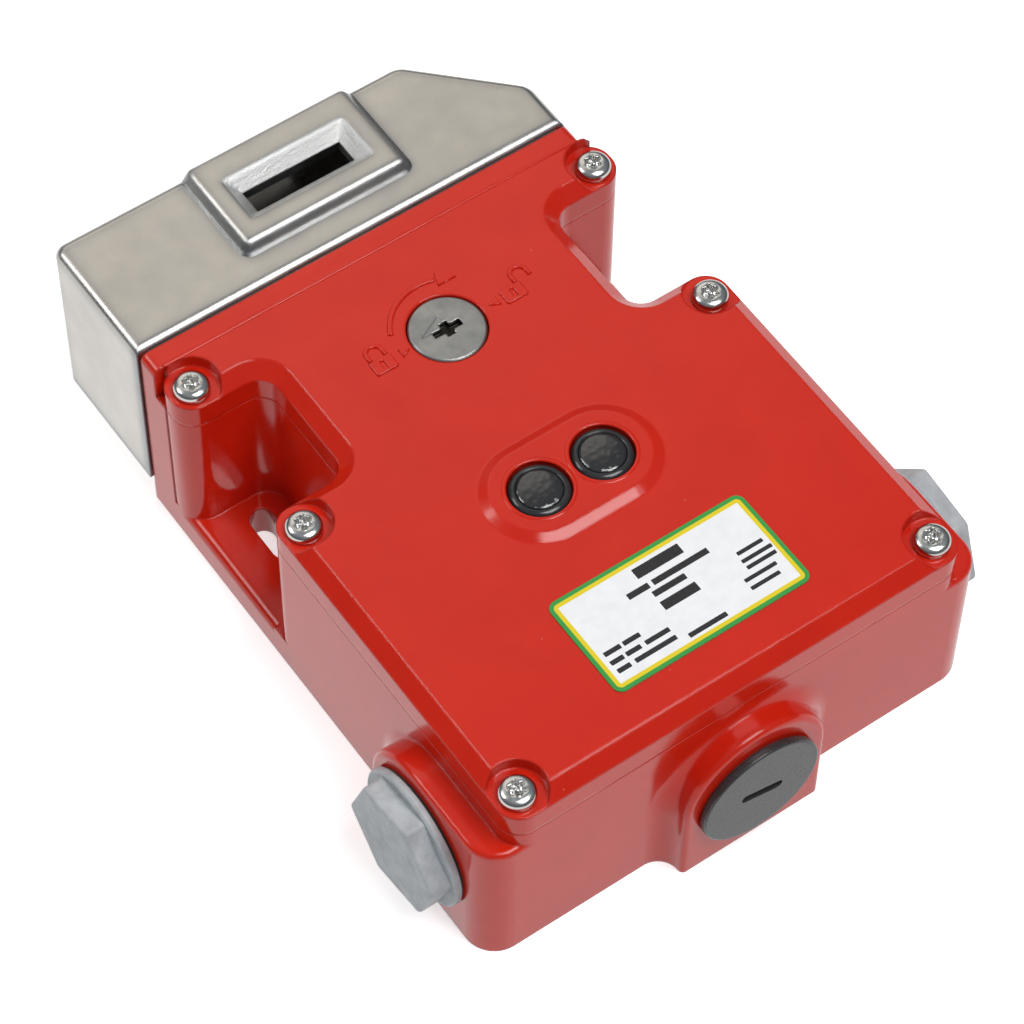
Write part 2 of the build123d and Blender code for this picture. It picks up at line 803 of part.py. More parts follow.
# Cam wheel
def plunger_flank():
    """Outline of the left disc: its radius falls steadily while the wheel turns."""
    pitch = cam_radius + running_gap + rod_radius
    offset_by = rod_radius + running_gap
    slope = plunger_travel / radians(cam_turn_angle)
    points = []
    for step in range(0, 10):
        turn = cam_turn_angle * step / 9
        centre = pitch - slope * radians(turn)
        angle = 180 + turn
        lean = degrees(atan2(slope, centre))
        y, z = polar(centre, angle)
        dy, dz = polar(offset_by, angle + lean)
        points.append((y - dy, z - dz))
    return points


def make_cam_wheel():
    """One casting on a cross pin: a slotted middle for the tongue and a disc on each side."""
    turn_view = Plane(origin=(0, 0, 0), x_dir=(0, 1, 0), z_dir=(1, 0, 0))

    def disc(face, centre_x, width):
        solid = extrude(turn_view * face, amount=width / 2, both=True)
        return Pos(centre_x, cam_axis_y, cam_axis_z) * solid

    full = Circle(cam_radius)
    hub = disc(Circle(cam_hub_radius), tongue_centre_x, 2 * cam_disc_offset + cam_disc_width)

    # The tongue hooks into one of two slots, a quarter turn apart
    entry_angle = degrees(atan2((cam_radius**2 - tongue_offset**2) ** 0.5, tongue_offset))
    middle = full
    slot_length = cam_radius - cam_slot_floor + 4
    for angle in (entry_angle, entry_angle - 90):
        slot = Pos(cam_slot_floor + slot_length / 2, 0) * Rectangle(slot_length, cam_slot_width)
        middle -= Rot(0, 0, angle) * slot
    shape = hub + disc(middle, tongue_centre_x, cam_middle_width)

    # Left disc with the falling flank, right disc with the notch for the lock slide
    flank = plunger_flank()
    dwell_radius = cam_radius - plunger_travel - seat_gap
    dwell_start = 180 + cam_turn_angle - 3
    dwell_end = 180 + cam_turn_angle + 25
    outside = cam_radius + 4
    wedge = make_face(
        [
            Spline(*flank),
            Line(flank[-1], polar(dwell_radius, dwell_start)),
            CenterArc((0, 0), dwell_radius, dwell_start, dwell_end - dwell_start),
            Line(polar(dwell_radius, dwell_end), polar(outside, dwell_end)),
            Line(polar(outside, dwell_end), polar(outside, 200)),
            Line(polar(outside, 200), polar(outside, 172)),
            Line(polar(outside, 172), flank[0]),
        ]
    )
    shape += disc(full - wedge, plunger_x, cam_disc_width)
    notch_angle = 180 + cam_turn_angle
    notch = Pos(cam_radius, 0) * Rectangle(2 * lock_travel + 1, 2 * (rod_radius + running_gap) + 1)
    shape += disc(full - Rot(0, 0, notch_angle) * notch, lock_x, cam_disc_width)
    bore_ends = (plunger_x - cam_disc_width, lock_x + cam_disc_width)
    return shape - rod_x(cam_pin_radius + seat_gap, *bore_ends, cam_axis_y, cam_axis_z)


def make_cam_pin():
    return rod_x(cam_pin_radius, -rib_outer, cam_pin_right_x, cam_axis_y, cam_axis_z)


# Rods that pass from the housing into the head
def make_plunger():
    """Rod that follows the cam wheel and carries the contact carriage."""
    centre_y = plunger_nose_y - rod_radius
    shape = rod_y(rod_radius, carriage_front_y, centre_y, plunger_x, cam_axis_z)
    shape += Pos(plunger_x, centre_y, cam_axis_z) * Sphere(rod_radius)
    shape += rod_y(carriage_pin_radius, carriage_back_y, carriage_front_y, plunger_x, cam_axis_z)
    collar_end = plunger_collar_y + plunger_collar_length
    return shape + rod_y(plunger_collar_radius, plunger_collar_y, collar_end, plunger_x, cam_axis_z)


def make_lock_slide():
    """Rod that bars the cam wheel, with an arm and a pin that the release cam pushes."""
    shape = rod_y(rod_radius, lock_flange_y, plunger_nose_y, lock_x, cam_axis_z)
    flange_end = lock_flange_y + lock_flange_length
    shape += rod_y(lock_flange_radius, lock_flange_y, flange_end, lock_x, cam_axis_z)
    arm_top = release_cam_bottom_z - running_gap
    arm_bottom = cam_axis_z + rod_radius
    arm = block(
        -follower_pin_radius - 1,
        lock_x + rod_radius,
        follower_y - follower_pin_radius - 1,
        follower_y + follower_pin_radius + 1,
        arm_bottom,
        arm_top,
    )
    saddle = block(
        lock_x - rod_radius,
        lock_x + rod_radius,
        follower_y - follower_pin_radius - 1,
        follower_y + follower_pin_radius + 1,
        cam_axis_z,
        arm_top,
    )
    shape += arm + saddle + rod_z(follower_pin_radius, arm_bottom, release_cam_top_z, 0, follower_y)
    socket = rod_y(
        armature_stub_radius + thread_gap,
        lock_flange_y - 1,
        lock_flange_y + armature_stub_length + seat_gap,
        lock_x,
        cam_axis_z,
    )
    return shape - socket


def make_armature():
    """Soft iron plunger of the solenoid, screwed into the lock slide."""
    back = solenoid_back_y + 8
    shape = rod_y(armature_radius, back, lock_flange_y, lock_x, cam_axis_z)
    stub_end = lock_flange_y + armature_stub_length
    return shape + rod_y(armature_stub_radius, lock_flange_y, stub_end, lock_x, cam_axis_z)


def coil_spring(x, y0, y1, mean_radius, wire_radius, turns):
    height = y1 - y0 - 2 * wire_radius
    path = Helix(height / turns, height, mean_radius)
    section = Plane(origin=path @ 0, z_dir=path % 0) * Circle(wire_radius)
    solid = sweep(section, path=path)
    return Pos(x, y0 + wire_radius, cam_axis_z) * Rot(-90, 0, 0) * solid


def make_plunger_spring():
    return coil_spring(plunger_x, guide_end_y, plunger_collar_y, rod_radius + 1.4, 0.6, 6)


def make_lock_spring():
    return coil_spring(lock_x, solenoid_front_y, lock_flange_y, armature_radius + 1.3, 0.6, 3)


def make_plunger_guide():
    """Bent bracket on the floor that guides the plunger and backs its spring."""
    x0, x1 = plunger_x - guide_width / 2, plunger_x + guide_width / 2
    shape = block(x0, x1, guide_y, guide_end_y, floor_thickness, cam_axis_z + guide_rise)
    top = shape.edges().filter_by(Axis.Y).filter_by(lambda e: e.center().Z > cam_axis_z)
    shape = fillet(top, guide_corner_radius)
    foot_top = floor_thickness + guide_foot_thickness
    foot_end = guide_end_y + guide_foot_length
    shape += block(x0, x1, guide_end_y - 1, foot_end, floor_thickness, foot_top)
    shape -= rod_y(rod_radius + running_gap, guide_y - 1, guide_end_y + 1, plunger_x, cam_axis_z)
    for x, y in guide_screw_places:
        shape -= rod_z(small_screw_radius + seat_gap, 0, foot_top + 1, x, y)
    return shape


def make_rod_seals():
    seals = []
    for x in (plunger_x, lock_x):
        seal_end = neck_end_y + seal_length
        ring = rod_y(seal_radius, neck_end_y, seal_end, x, cam_axis_z)
        ring -= rod_y(rod_radius + seat_gap, neck_end_y - 1, seal_end + 1, x, cam_axis_z)
        seals.append(ring)
    return group(seals)


# Release
def make_release_shaft():
    """Disc flush with the cover, a sealed shaft below it, and a square end for the cam."""
    shape = rod_z(release_disc_radius, release_shoulder_z, cover_top_z, 0, release_y)
    rim = shape.faces().sort_by(Axis.Z)[-1].edges()
    shape = chamfer(rim, 0.4)
    shape += rod_z(release_shaft_radius, release_cam_top_z, release_shoulder_z, 0, release_y)
    square = Pos(0, release_y) * RectangleRounded(release_square, release_square, 0.8)
    shape += Pos(0, 0, release_cam_bottom_z) * extrude(square, amount=release_cam_thickness)
    hole_top = release_cam_bottom_z + small_screw_length
    shape -= rod_z(small_screw_radius + thread_gap, release_cam_bottom_z - 1, hole_top, 0, release_y)
    ring = rod_z(release_shaft_radius + 1, release_seal_z - 0.9, release_seal_z + 0.9, 0, release_y)
    ring -= rod_z(release_shaft_radius - 1.3, release_seal_z - 1, release_seal_z + 1, 0, release_y)
    shape -= ring
    clip_top = release_clip_z + release_clip_thickness
    groove = rod_z(release_shaft_radius + 1, release_clip_z, clip_top, 0, release_y)
    groove -= rod_z(release_shaft_radius - 1, release_clip_z - 1, release_clip_z + 1, 0, release_y)
    shape -= groove
    cross = Rectangle(6.8, 1.7) + Rectangle(1.9, 3.8) + Circle(1.5)
    cross = Pos(0, release_y, cover_top_z - release_recess_depth) * extrude(cross, amount=3)
    pointer = make_face(Polyline((-5.8, 0.9), (0.2, 3.8), (-0.6, 0.2), close=True))
    pointer = Pos(0, release_y, cover_top_z - 0.25) * extrude(pointer, amount=1)
    return shape - cross - pointer


def make_release_seal():
    ring = Torus(release_shaft_radius - 0.55, 0.75)
    return Pos(0, release_y, release_seal_z) * ring


def make_release_clip():
    clip_top = release_clip_z + release_clip_thickness
    ring = rod_z(release_shaft_radius + 2, release_clip_z, clip_top, 0, release_y)
    ring -= rod_z(release_shaft_radius - 1, release_clip_z - 1, release_clip_z + 1, 0, release_y)
    gap = release_shaft_radius - 1
    return ring - block(-gap, gap, release_y, release_y + 10, release_clip_z - 1, release_clip_z + 1)


def make_release_cam():
    """Snail cam: its radius grows by the lock travel over half a turn, then falls back."""
    rise = [
        polar(release_cam_low_radius + lock_travel * step / 12, -90 + 15 * step)
        for step in range(0, 13)
    ]
    fall = [
        polar(release_cam_high_radius - lock_travel * step / 12, 90 + 15 * step)
        for step in range(0, 13)
    ]
    face = make_face([Spline(*rise), Spline(*fall)])
    face -= Rectangle(release_square + 2 * thread_gap, release_square + 2 * thread_gap)
    return Pos(0, release_y, release_cam_bottom_z) * extrude(face, amount=release_cam_thickness)


# Solenoid
def make_solenoid_frame():
    x0, x1 = lock_x - solenoid_width / 2, lock_x + solenoid_width / 2
    z0, z1 = solenoid_bottom_z, solenoid_bottom_z + solenoid_height
    shape = block(x0, x1, solenoid_back_y, solenoid_front_y, z0, z1)
    shape -= block(
        x0 - 1,
        x1 + 1,
        solenoid_back_y + solenoid_plate,
        solenoid_front_y - solenoid_plate,
        z0 + solenoid_plate,
        z1 + 1,
    )
    bore = armature_radius + running_gap
    shape -= rod_y(bore, solenoid_front_y - 3, solenoid_front_y + 1, lock_x, cam_axis_z)
    for x, y in solenoid_screw_places:
        ear = block(
            x - solenoid_ear_width / 2,
            x + solenoid_ear_width / 2,
            y - solenoid_ear_length / 2 - 0.5,
            y + solenoid_ear_length / 2 + 0.5,
            z0,
            z0 + solenoid_plate,
        )
        shape += ear - rod_z(small_screw_radius + seat_gap, z0 - 1, z0 + 4, x, y)
    return shape


def make_bobbin():
    y0, y1 = solenoid_back_y + solenoid_plate, solenoid_front_y - solenoid_plate
    shape = rod_y(bobbin_tube_radius, y0, y1, lock_x, cam_axis_z)
    for start in (y0, y1 - bobbin_flange_thickness):
        end = start + bobbin_flange_thickness
        shape += rod_y(bobbin_flange_radius, start, end, lock_x, cam_axis_z)
    return shape - rod_y(armature_radius + running_gap, y0 - 1, y1 + 1, lock_x, cam_axis_z)


def make_winding():
    y0 = solenoid_back_y + solenoid_plate + bobbin_flange_thickness
    y1 = solenoid_front_y - solenoid_plate - bobbin_flange_thickness
    shape = rod_y(winding_radius, y0, y1, lock_x, cam_axis_z)
    return shape - rod_y(bobbin_tube_radius, y0 - 1, y1 + 1, lock_x, cam_axis_z)


# Contact block
def make_contact_block():
    x0, x1 = plunger_x - contact_block_width / 2, plunger_x + contact_block_width / 2
    y0, y1 = contact_block_back_y, contact_block_front_y
    shape = block(x0, x1, y0, y1, contact_block_bottom_z, contact_block_top_z)
    shape -= block(
        x0 + contact_block_wall,
        x1 - contact_block_wall,
        y0 + contact_block_wall,
        y1 - contact_block_wall,
        contact_block_bottom_z + contact_block_floor,
        contact_block_top_z + 1,
    )
    shape -= rod_y(rod_radius + running_gap, y1 - 4, y1 + 1, plunger_x, cam_axis_z)
    well_floor = contact_block_bottom_z + contact_block_screw_floor
    floor_top = contact_block_bottom_z + contact_block_floor
    for x, y in contact_block_screw_places:
        shape -= rod_z(small_screw_radius + seat_gap, contact_block_bottom_z - 1, floor_top, x, y)
        shape -= rod_z(small_screw_head_radius + seat_gap, well_floor, floor_top + 1, x, y)
    return shape


def make_contact_carriage():
    """Moulded slider on the plunger's tail, with a slot for each bridge."""
    z0, z1 = cam_axis_z - carriage_height / 2, cam_axis_z + carriage_height / 2
    x0, x1 = plunger_x - carriage_width / 2, plunger_x + carriage_width / 2
    shape = block(x0, x1, carriage_back_y, carriage_front_y, z0, z1)
    pin_hole = carriage_pin_radius + thread_gap
    shape -= rod_y(pin_hole, carriage_back_y - 1, carriage_front_y + 1, plunger_x, cam_axis_z)
    for y in bridge_rows:
        slot_end = y + bridge_thickness + 2.2
        shape -= block(x0 - 1, x1 + 1, y, slot_end, bridge_z, bridge_z + bridge_height)
    return shape


def make_contact_bridges():
    """Sprung bars that close across the fixed contacts."""
    reach = contact_block_width / 2 - contact_block_wall - 1.2
    bars = []
    for y in bridge_rows:
        x0, x1 = plunger_x - reach, plunger_x + reach
        bar = block(x0, x1, y, y + bridge_thickness, bridge_z, bridge_z + bridge_height)
        for x in (plunger_x - reach + 2, plunger_x + reach - 2):
            face_y = y + bridge_thickness
            rivet_y = face_y + contact_rivet_height
            bar += rod_y(1.4, face_y - 0.2, rivet_y, x, bridge_z + bridge_height / 2)
        bars.append(bar)
    return group(bars)


def fixed_contact_y(row):
    return row + bridge_thickness + contact_rivet_height + plunger_travel + running_gap


def make_fixed_contacts():
    """Strips down the side walls, bent over the top for a wire clamp."""
    inner = contact_block_width / 2 - contact_block_wall
    strips = []
    for row in bridge_rows:
        y = fixed_contact_y(row)
        for side in (-1, 1):
            outer_x = plunger_x + side * inner
            tip_x = plunger_x + side * (inner - 4.2)
            far_x = plunger_x + side * (inner + 1.6)
            x0, x1 = min(outer_x, tip_x), max(outer_x, tip_x)
            strip = block(x0, x1, y, y + 1, bridge_z - 1, contact_block_top_z + 1)
            x0, x1 = min(far_x, tip_x), max(far_x, tip_x)
            strips.append(strip + block(x0, x1, y, y + 6, contact_block_top_z, contact_block_top_z + 1))
    return group(strips)


# Terminal board
def make_terminal_board():
    shape = block(-board_half_width, board_half_width, *board_y, board_bottom_z, board_top_z)
    for x, y in board_post_places:
        shape -= rod_z(small_screw_radius + seat_gap, board_bottom_z - 1, board_top_z + 1, x, y)
    return shape


def terminal_places(side):
    """Poles of one row, evenly pitched on one side of the middle."""
    first = side * (terminal_row_gap / 2 + terminal_pitch / 2)
    return [first + side * terminal_pitch * step for step in range(terminal_count)]


def make_terminal_blocks():
    """Two rows of wire clamps: a moulded body with a wire mouth and a screw well at each pole."""
    top = board_top_z + terminal_height
    y0 = terminal_y - terminal_depth / 2
    blocks = []
    for side in (-1, 1):
        poles = terminal_places(side)
        x0 = min(poles) - terminal_pitch / 2
        x1 = max(poles) + terminal_pitch / 2
        solid = block(x0, x1, y0, y0 + terminal_depth, board_top_z, top)
        half_mouth, mouth_depth = terminal_mouth[0] / 2, terminal_mouth[1]
        sill_z = board_top_z + terminal_mouth_sill
        well_z = top - terminal_screw_height - terminal_screw_sink
        for x in poles:
            mouth_top = sill_z + terminal_mouth_height
            solid -= block(x - half_mouth, x + half_mouth, y0 - 1, y0 + mouth_depth, sill_z, mouth_top)
            solid -= rod_z(terminal_screw_radius + seat_gap, well_z, top + 1, x, terminal_y)
        blocks.append(solid)
    return group(blocks)


def make_terminal_screws():
    top = board_top_z + terminal_height - terminal_screw_sink
    half_slot = terminal_slot_width / 2
    slot_z = top - terminal_slot_depth
    screws = []
    for side in (-1, 1):
        for x in terminal_places(side):
            screw = rod_z(terminal_screw_radius, top - terminal_screw_height, top, x, terminal_y)
            ends = (x - terminal_screw_radius - 1, x + terminal_screw_radius + 1)
            slot = block(*ends, terminal_y - half_slot, terminal_y + half_slot, slot_z, top + 1)
            screws.append(screw - slot)
    return group(screws)


# Entry plugs, drawn along +Z with the seat of the washer at z = 0
def hex_plug():
    seat = plug_washer_thickness
    ring_top = seat + plug_ring_thickness
    shank = entry_bore_radius - entry_clearance
    shape = rod_z(plug_ring_radius, seat, ring_top, 0, 0)
    shape = chamfer(shape.faces().sort_by(Axis.Z)[-1].edges(), 0.5)
    corner = plug_hex_across_flats / 2 / cos(pi / 6)
    hexagon = Rot(0, 0, plug_hex_turn) * RegularPolygon(corner, 6)
    hexagon = fillet(hexagon.vertices(), 1.5)
    knob = Pos(0, 0, ring_top - 0.2) * extrude(hexagon, amount=plug_hex_height + 0.2)
    knob = fillet(knob.faces().sort_by(Axis.Z)[-1].edges(), 0.8)
    shape += knob + rod_z(shank, -plug_shank_length, seat, 0, 0)
    return shape - rod_z(plug_bore_radius, -plug_shank_length - 1, seat, 0, 0)


def end_plug():
    seat = plug_washer_thickness
    shank = entry_bore_radius - entry_clearance
    shape = rod_z(end_plug_radius, seat, seat + end_plug_thickness, 0, 0)
    shape = fillet(shape.faces().sort_by(Axis.Z)[-1].edges(), 0.5)
    shape += rod_z(shank, -plug_shank_length, seat, 0, 0)
    shape -= rod_z(plug_bore_radius, -plug_shank_length - 1, seat, 0, 0)
    slot = SlotOverall(end_plug_slot_length, end_plug_slot_width)
    slot = Rot(0, 0, end_plug_slot_turn) * slot
    floor = seat + end_plug_thickness - end_plug_slot_depth
    return shape - Pos(0, 0, floor) * extrude(slot, amount=3)


def plug_washer(radius):
    ring = rod_z(radius, 0, plug_washer_thickness, 0, 0)
    return ring - rod_z(entry_bore_radius, -1, plug_washer_thickness + 1, 0, 0)


left_entry = Plane(
    origin=(-half_width - side_boss_reach, side_entry_y, entry_axis_z), x_dir=(0, -1, 0), z_dir=(-1, 0, 0)
)
right_entry = Plane(
    origin=(half_width + side_boss_reach, side_entry_y, entry_axis_z), x_dir=(0, 1, 0), z_dir=(1, 0, 0)
)
end_entry = Plane(
    origin=(0, conduit_end_y - end_boss_reach, entry_axis_z), x_dir=(1, 0, 0), z_dir=(0, -1, 0)
)


# Indicator lamps
def lamp_xs():
    return (-lamp_spacing / 2, lamp_spacing / 2)


def make_bezels():
    """Black collars that sit in the lamp holes and hold the lenses."""
    rings = []
    for x in lamp_xs():
        seat = bezel_top_z - bezel_collar_height
        ring = rod_z(bezel_outer_radius, seat, bezel_top_z, x, lamp_y)
        ring = chamfer(ring.faces().sort_by(Axis.Z)[-1].edges(), 0.5)
        ring += rod_z(bezel_outer_radius - 0.6, lamp_board_top_z, seat, x, lamp_y)
        rings.append(ring - rod_z(bezel_inner_radius, lamp_board_top_z - 1, bezel_top_z + 1, x, lamp_y))
    return group(rings)


def make_lenses():
    """Clear domes over the lamps, hollow below."""
    lenses = []
    base = bezel_top_z - lens_recess - lens_dome_height
    dome_radius = (bezel_inner_radius**2 + lens_dome_height**2) / (2 * lens_dome_height)
    for x in lamp_xs():
        rim = rod_z(bezel_inner_radius, base - lens_rim_thickness, base + lens_dome_height, x, lamp_y)
        dome = Pos(x, lamp_y, base + lens_dome_height - dome_radius) * Sphere(dome_radius)
        hollow = rod_z(bezel_inner_radius - lens_wall, base - lens_rim_thickness, base, x, lamp_y)
        lenses.append((rim & dome) - hollow)
    return group(lenses)


def make_lamps():
    lamps = []
    for x in lamp_xs():
        foot_top = lamp_board_top_z + lamp_foot_height
        lamp = rod_z(lamp_foot_radius, lamp_board_top_z, foot_top, x, lamp_y)
        lamp += rod_z(lamp_radius, lamp_board_top_z, lamp_board_top_z + lamp_height, x, lamp_y)
        lamps.append(lamp)
    return group(lamps)


def make_lamp_board():
    bottom = lamp_board_top_z - board_thickness
    shape = block(
        -lamp_board_half_width,
        lamp_board_half_width,
        lamp_y - lamp_board_half_depth,
        lamp_y + lamp_board_half_depth,
        bottom,
        lamp_board_top_z,
    )
    for x in (-lamp_post_x, lamp_post_x):
        shape -= rod_z(small_screw_radius + seat_gap, bottom - 1, lamp_board_top_z + 1, x, lamp_y)
    return shape


def make_rating_plate():
    face = Pos(*plate_centre) * RectangleRounded(*plate_size, plate_corner_radius)
    return Pos(0, 0, cover_top_z) * extrude(face, amount=plate_thickness)



# Pieces
save("housing", make_housing())
save("cover", make_cover())
save("cover_gasket", make_cover_gasket())
save("lid_screws", group(Pos(x, y, cover_shoulder_z) * lid_screw() for x, y in lid_screw_places))

save("head", make_head())
save("head_gasket", make_head_gasket())
save("head_screws", group(Pos(x, neck_end_y, z) * Rot(90, 0, 0) * head_screw() for x, z in head_screw_places))
save("cam_wheel", make_cam_wheel())
save("cam_pin", make_cam_pin())

save("plunger", make_plunger())
save("plunger_spring", make_plunger_spring())
save("plunger_guide", make_plunger_guide())
save(
    "plunger_guide_screws",
    group(Pos(x, y, floor_thickness + guide_foot_thickness) * short_screw() for x, y in guide_screw_places),
)
save("rod_seals", make_rod_seals())
save("lock_slide", make_lock_slide())
save("lock_spring", make_lock_spring())
save("armature", make_armature())

save("solenoid_frame", make_solenoid_frame())
save("solenoid_bobbin", make_bobbin())
save("solenoid_winding", make_winding())
solenoid_seat_z = solenoid_bottom_z + solenoid_plate
save("solenoid_screws", group(Pos(x, y, solenoid_seat_z) * small_screw() for x, y in solenoid_screw_places))

save("contact_block", make_contact_block())
save("contact_carriage", make_contact_carriage())
save("contact_bridges", make_contact_bridges())
save("fixed_contacts", make_fixed_contacts())
well_z = contact_block_bottom_z + contact_block_screw_floor
save("contact_block_screws", group(Pos(x, y, well_z) * small_screw() for x, y in contact_block_screw_places))

save("terminal_board", make_terminal_board())
save("terminal_blocks", make_terminal_blocks())
save("terminal_screws", make_terminal_screws())
save("board_screws", group(Pos(x, y, board_top_z) * small_screw() for x, y in board_post_places))
save("earth_screw", Pos(*earth_place, earth_boss_top_z) * earth_screw())

save("release_shaft", make_release_shaft())
save("release_cam", make_release_cam())
save("release_seal", make_release_seal())
save("release_clip", make_release_clip())
save("release_cam_screw", Pos(0, release_y, release_cam_bottom_z) * Rot(180, 0, 0) * small_screw())

save("lamp_board", make_lamp_board())
save("lamps", make_lamps())
save("lamp_bezels", make_bezels())
save("lamp_lenses", make_lenses())
lamp_seat_z = lamp_board_top_z - board_thickness
lamp_screw_places = [Pos(x, lamp_y, lamp_seat_z) for x in (-lamp_post_x, lamp_post_x)]
save("lamp_board_screws", group(place * Rot(180, 0, 0) * short_screw() for place in lamp_screw_places))
save("rating_plate", make_rating_plate())

save("left_entry_plug", left_entry * hex_plug())
save("right_entry_plug", right_entry * hex_plug())
save("end_entry_plug", end_entry * end_plug())
save(
    "entry_plug_washers",
    group(
        [
            left_entry * plug_washer(plug_washer_radius),
            right_entry * plug_washer(plug_washer_radius),
            end_entry * plug_washer(end_plug_washer_radius),
        ]
    ),
)
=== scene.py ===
from math import cos, pi, radians, sin

import bmesh
import bpy
from bpy.props import FloatProperty, FloatVectorProperty, IntProperty, PointerProperty
from mathutils import Matrix, Vector


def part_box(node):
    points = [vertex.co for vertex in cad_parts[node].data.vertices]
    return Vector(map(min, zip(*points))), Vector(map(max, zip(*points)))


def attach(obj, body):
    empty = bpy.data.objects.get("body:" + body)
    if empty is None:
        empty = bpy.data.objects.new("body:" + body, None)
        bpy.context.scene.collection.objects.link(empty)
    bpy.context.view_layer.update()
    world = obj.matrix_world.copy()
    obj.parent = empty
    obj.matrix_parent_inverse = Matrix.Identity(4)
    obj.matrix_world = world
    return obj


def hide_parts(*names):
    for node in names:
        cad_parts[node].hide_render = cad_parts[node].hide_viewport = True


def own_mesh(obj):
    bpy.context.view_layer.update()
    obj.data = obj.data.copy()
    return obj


bl_info = {
    "name": "Tongue interlock switch",
    "version": (1, 0, 0),
    "blender": (4, 5, 0),
    "location": "View3D > Sidebar > Switch",
    "description": "Finishes and small pieces of a tongue interlock switch, and the studio round it",
    "category": "Object",
}

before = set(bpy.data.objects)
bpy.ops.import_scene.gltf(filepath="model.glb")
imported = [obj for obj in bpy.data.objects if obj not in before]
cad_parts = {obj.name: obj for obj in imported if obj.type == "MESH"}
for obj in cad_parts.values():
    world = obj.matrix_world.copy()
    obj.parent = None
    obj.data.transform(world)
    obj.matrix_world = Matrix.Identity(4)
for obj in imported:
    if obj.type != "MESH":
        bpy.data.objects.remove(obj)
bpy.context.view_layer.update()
cover_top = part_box("rating_plate")[0].z
mm = 0.001

# Boxes in which the castings' own shape calls for another finish: lowest and highest x, y and z
upper_mouth = ((-0.0182, 0.0415, 0.0505), (0.0122, 0.0537, None))
rear_mouth = ((-0.0182, 0.0606, 0.0173), (0.0122, None, 0.0295))
boss_top = ((None, None, 0.05375), (None, None, None))
head_boss = ((None, None, 0.0514), (None, None, None))

# Places in the part that its nodes' boxes don't give
release_shift = (0.0, 0.003, 0.0)
# Box of the release's cross recess, where shade is painted
recess_low = (-0.0062, -0.0092)
recess_high = (0.0062, 0.0032)
middle_screw_y = -0.0257
bead_x = -0.0015

# Lamps, and screens as round patches of the world: direction, and cosines at the rim and inside it
key_lamp_place = (0.2, -0.5, 1.18)
rim_lamp_place = (-0.72, 0.58, 0.91)
rear_screen = ((0.25, 0.72, 0.64), 0.9, 0.975)
left_screen = ((-0.3, 0.5, 0.82), 0.95, 0.985)

turned_steps = 96
screw_steps = 72

# How far added pieces sink into what they stand on, and corners of the printing
sign_sink = 0.00012
ink_sink = 0.00001
floor_gap = 0.00005
plate_corner = 0.002
bar_corner = 0.00015

# Widths of one ring, one turn of wire and one thread of cloth
release_ring = 0.00022
works_ring = 0.0003
wire_pitch = 0.0004
cloth_pitch = 0.0006


# Sizes and colours that a user would change
def number(name, description, default, **settings):
    return FloatProperty(name=name, description=description, default=default, **settings)


def length(name, description, default):
    return number(name, description, default, min=0.0, unit="LENGTH", precision=5)


def share(name, description, default):
    return number(name, description, default, min=0.0, max=1.0, subtype="FACTOR")


def colour(name, whose, default):
    return FloatVectorProperty(
        name=name, description="Colour of " + whose, default=default, size=3, min=0.0, max=1.0,
        subtype="COLOR",
    )


def bearing(name, description, degrees):
    return number(name, description, radians(degrees), subtype="ANGLE", unit="ROTATION")


def watts(name, description, default):
    return number(name, description, default, min=0.0, unit="POWER")


class CameraLook(bpy.types.PropertyGroup):
    """Where the camera stands and how long its lens is."""

    location: FloatVectorProperty(
        name="Location", description="Where the camera stands", size=3,
        default=(-0.26871, -0.39976, 0.70229), subtype="TRANSLATION", unit="LENGTH",
    )
    azimuth: bearing("Azimuth", "Turn of the view about the upright axis", -35.748)
    elevation: bearing("Elevation", "Height of the view above the horizon", 56.289)
    roll: bearing("Roll", "Turn of the camera about its own line of sight", 0.8385)
    lens: number("Lens", "Focal length on a sensor 36 mm wide", 139.34, min=1.0, unit="CAMERA")


class StudioLook(bpy.types.PropertyGroup):
    """Floor, world and lamps."""

    floor_size: length("Floor size", "Side of the square floor", 6.0)
    floor_white: share("Floor white", "How much light the floor gives back", 0.9)
    floor_lift: share("Floor lift", "Light added to the floor where the camera sees it", 0.58)
    wall_grey: share("Wall grey", "Brightness of the studio walls near the floor", 0.12)
    ceiling_grey: share("Ceiling grey", "Brightness of the studio straight above", 0.3)
    wall_tint: colour("Wall tint", "the studio walls", (0.86, 0.93, 1.0))
    screen_white: colour("Screen white", "the large screen behind the switch", (1.0, 0.955, 0.88))
    screen_power: share("Screen power", "Brightness of the left screen, as a share of the other", 0.65)
    key_size: length("Key size", "Side of the large lamp above the camera", 0.65)
    key_power: watts("Key power", "Strength of the large lamp above the camera", 9.6)
    rim_size: length("Rim size", "Side of the lamp at the far left", 0.45)
    rim_power: watts("Rim power", "Strength of the lamp at the far left", 3.2)


class PaintLook(bpy.types.PropertyGroup):
    """Enamel on the two castings."""

    enamel: colour("Enamel", "the enamel", (0.66, 0.02, 0.006))
    enamel_deep: colour("Deep enamel", "the enamel where it is thick", (0.62, 0.017, 0.005))
    speck: colour("Speck", "the dust specks in the enamel", (0.75, 0.2, 0.14))
    peel_width: length("Peel width", "Width of one ripple in the enamel", 0.0013)
    peel_height: length("Peel height", "Height of one ripple in the enamel", 0.000012)
    edge_radius: length("Edge radius", "How softly the enamel rounds an edge", 0.0008)
    sign_radius: length("Sign radius", "How softly the enamel rounds the edge of a sign", 0.0001)


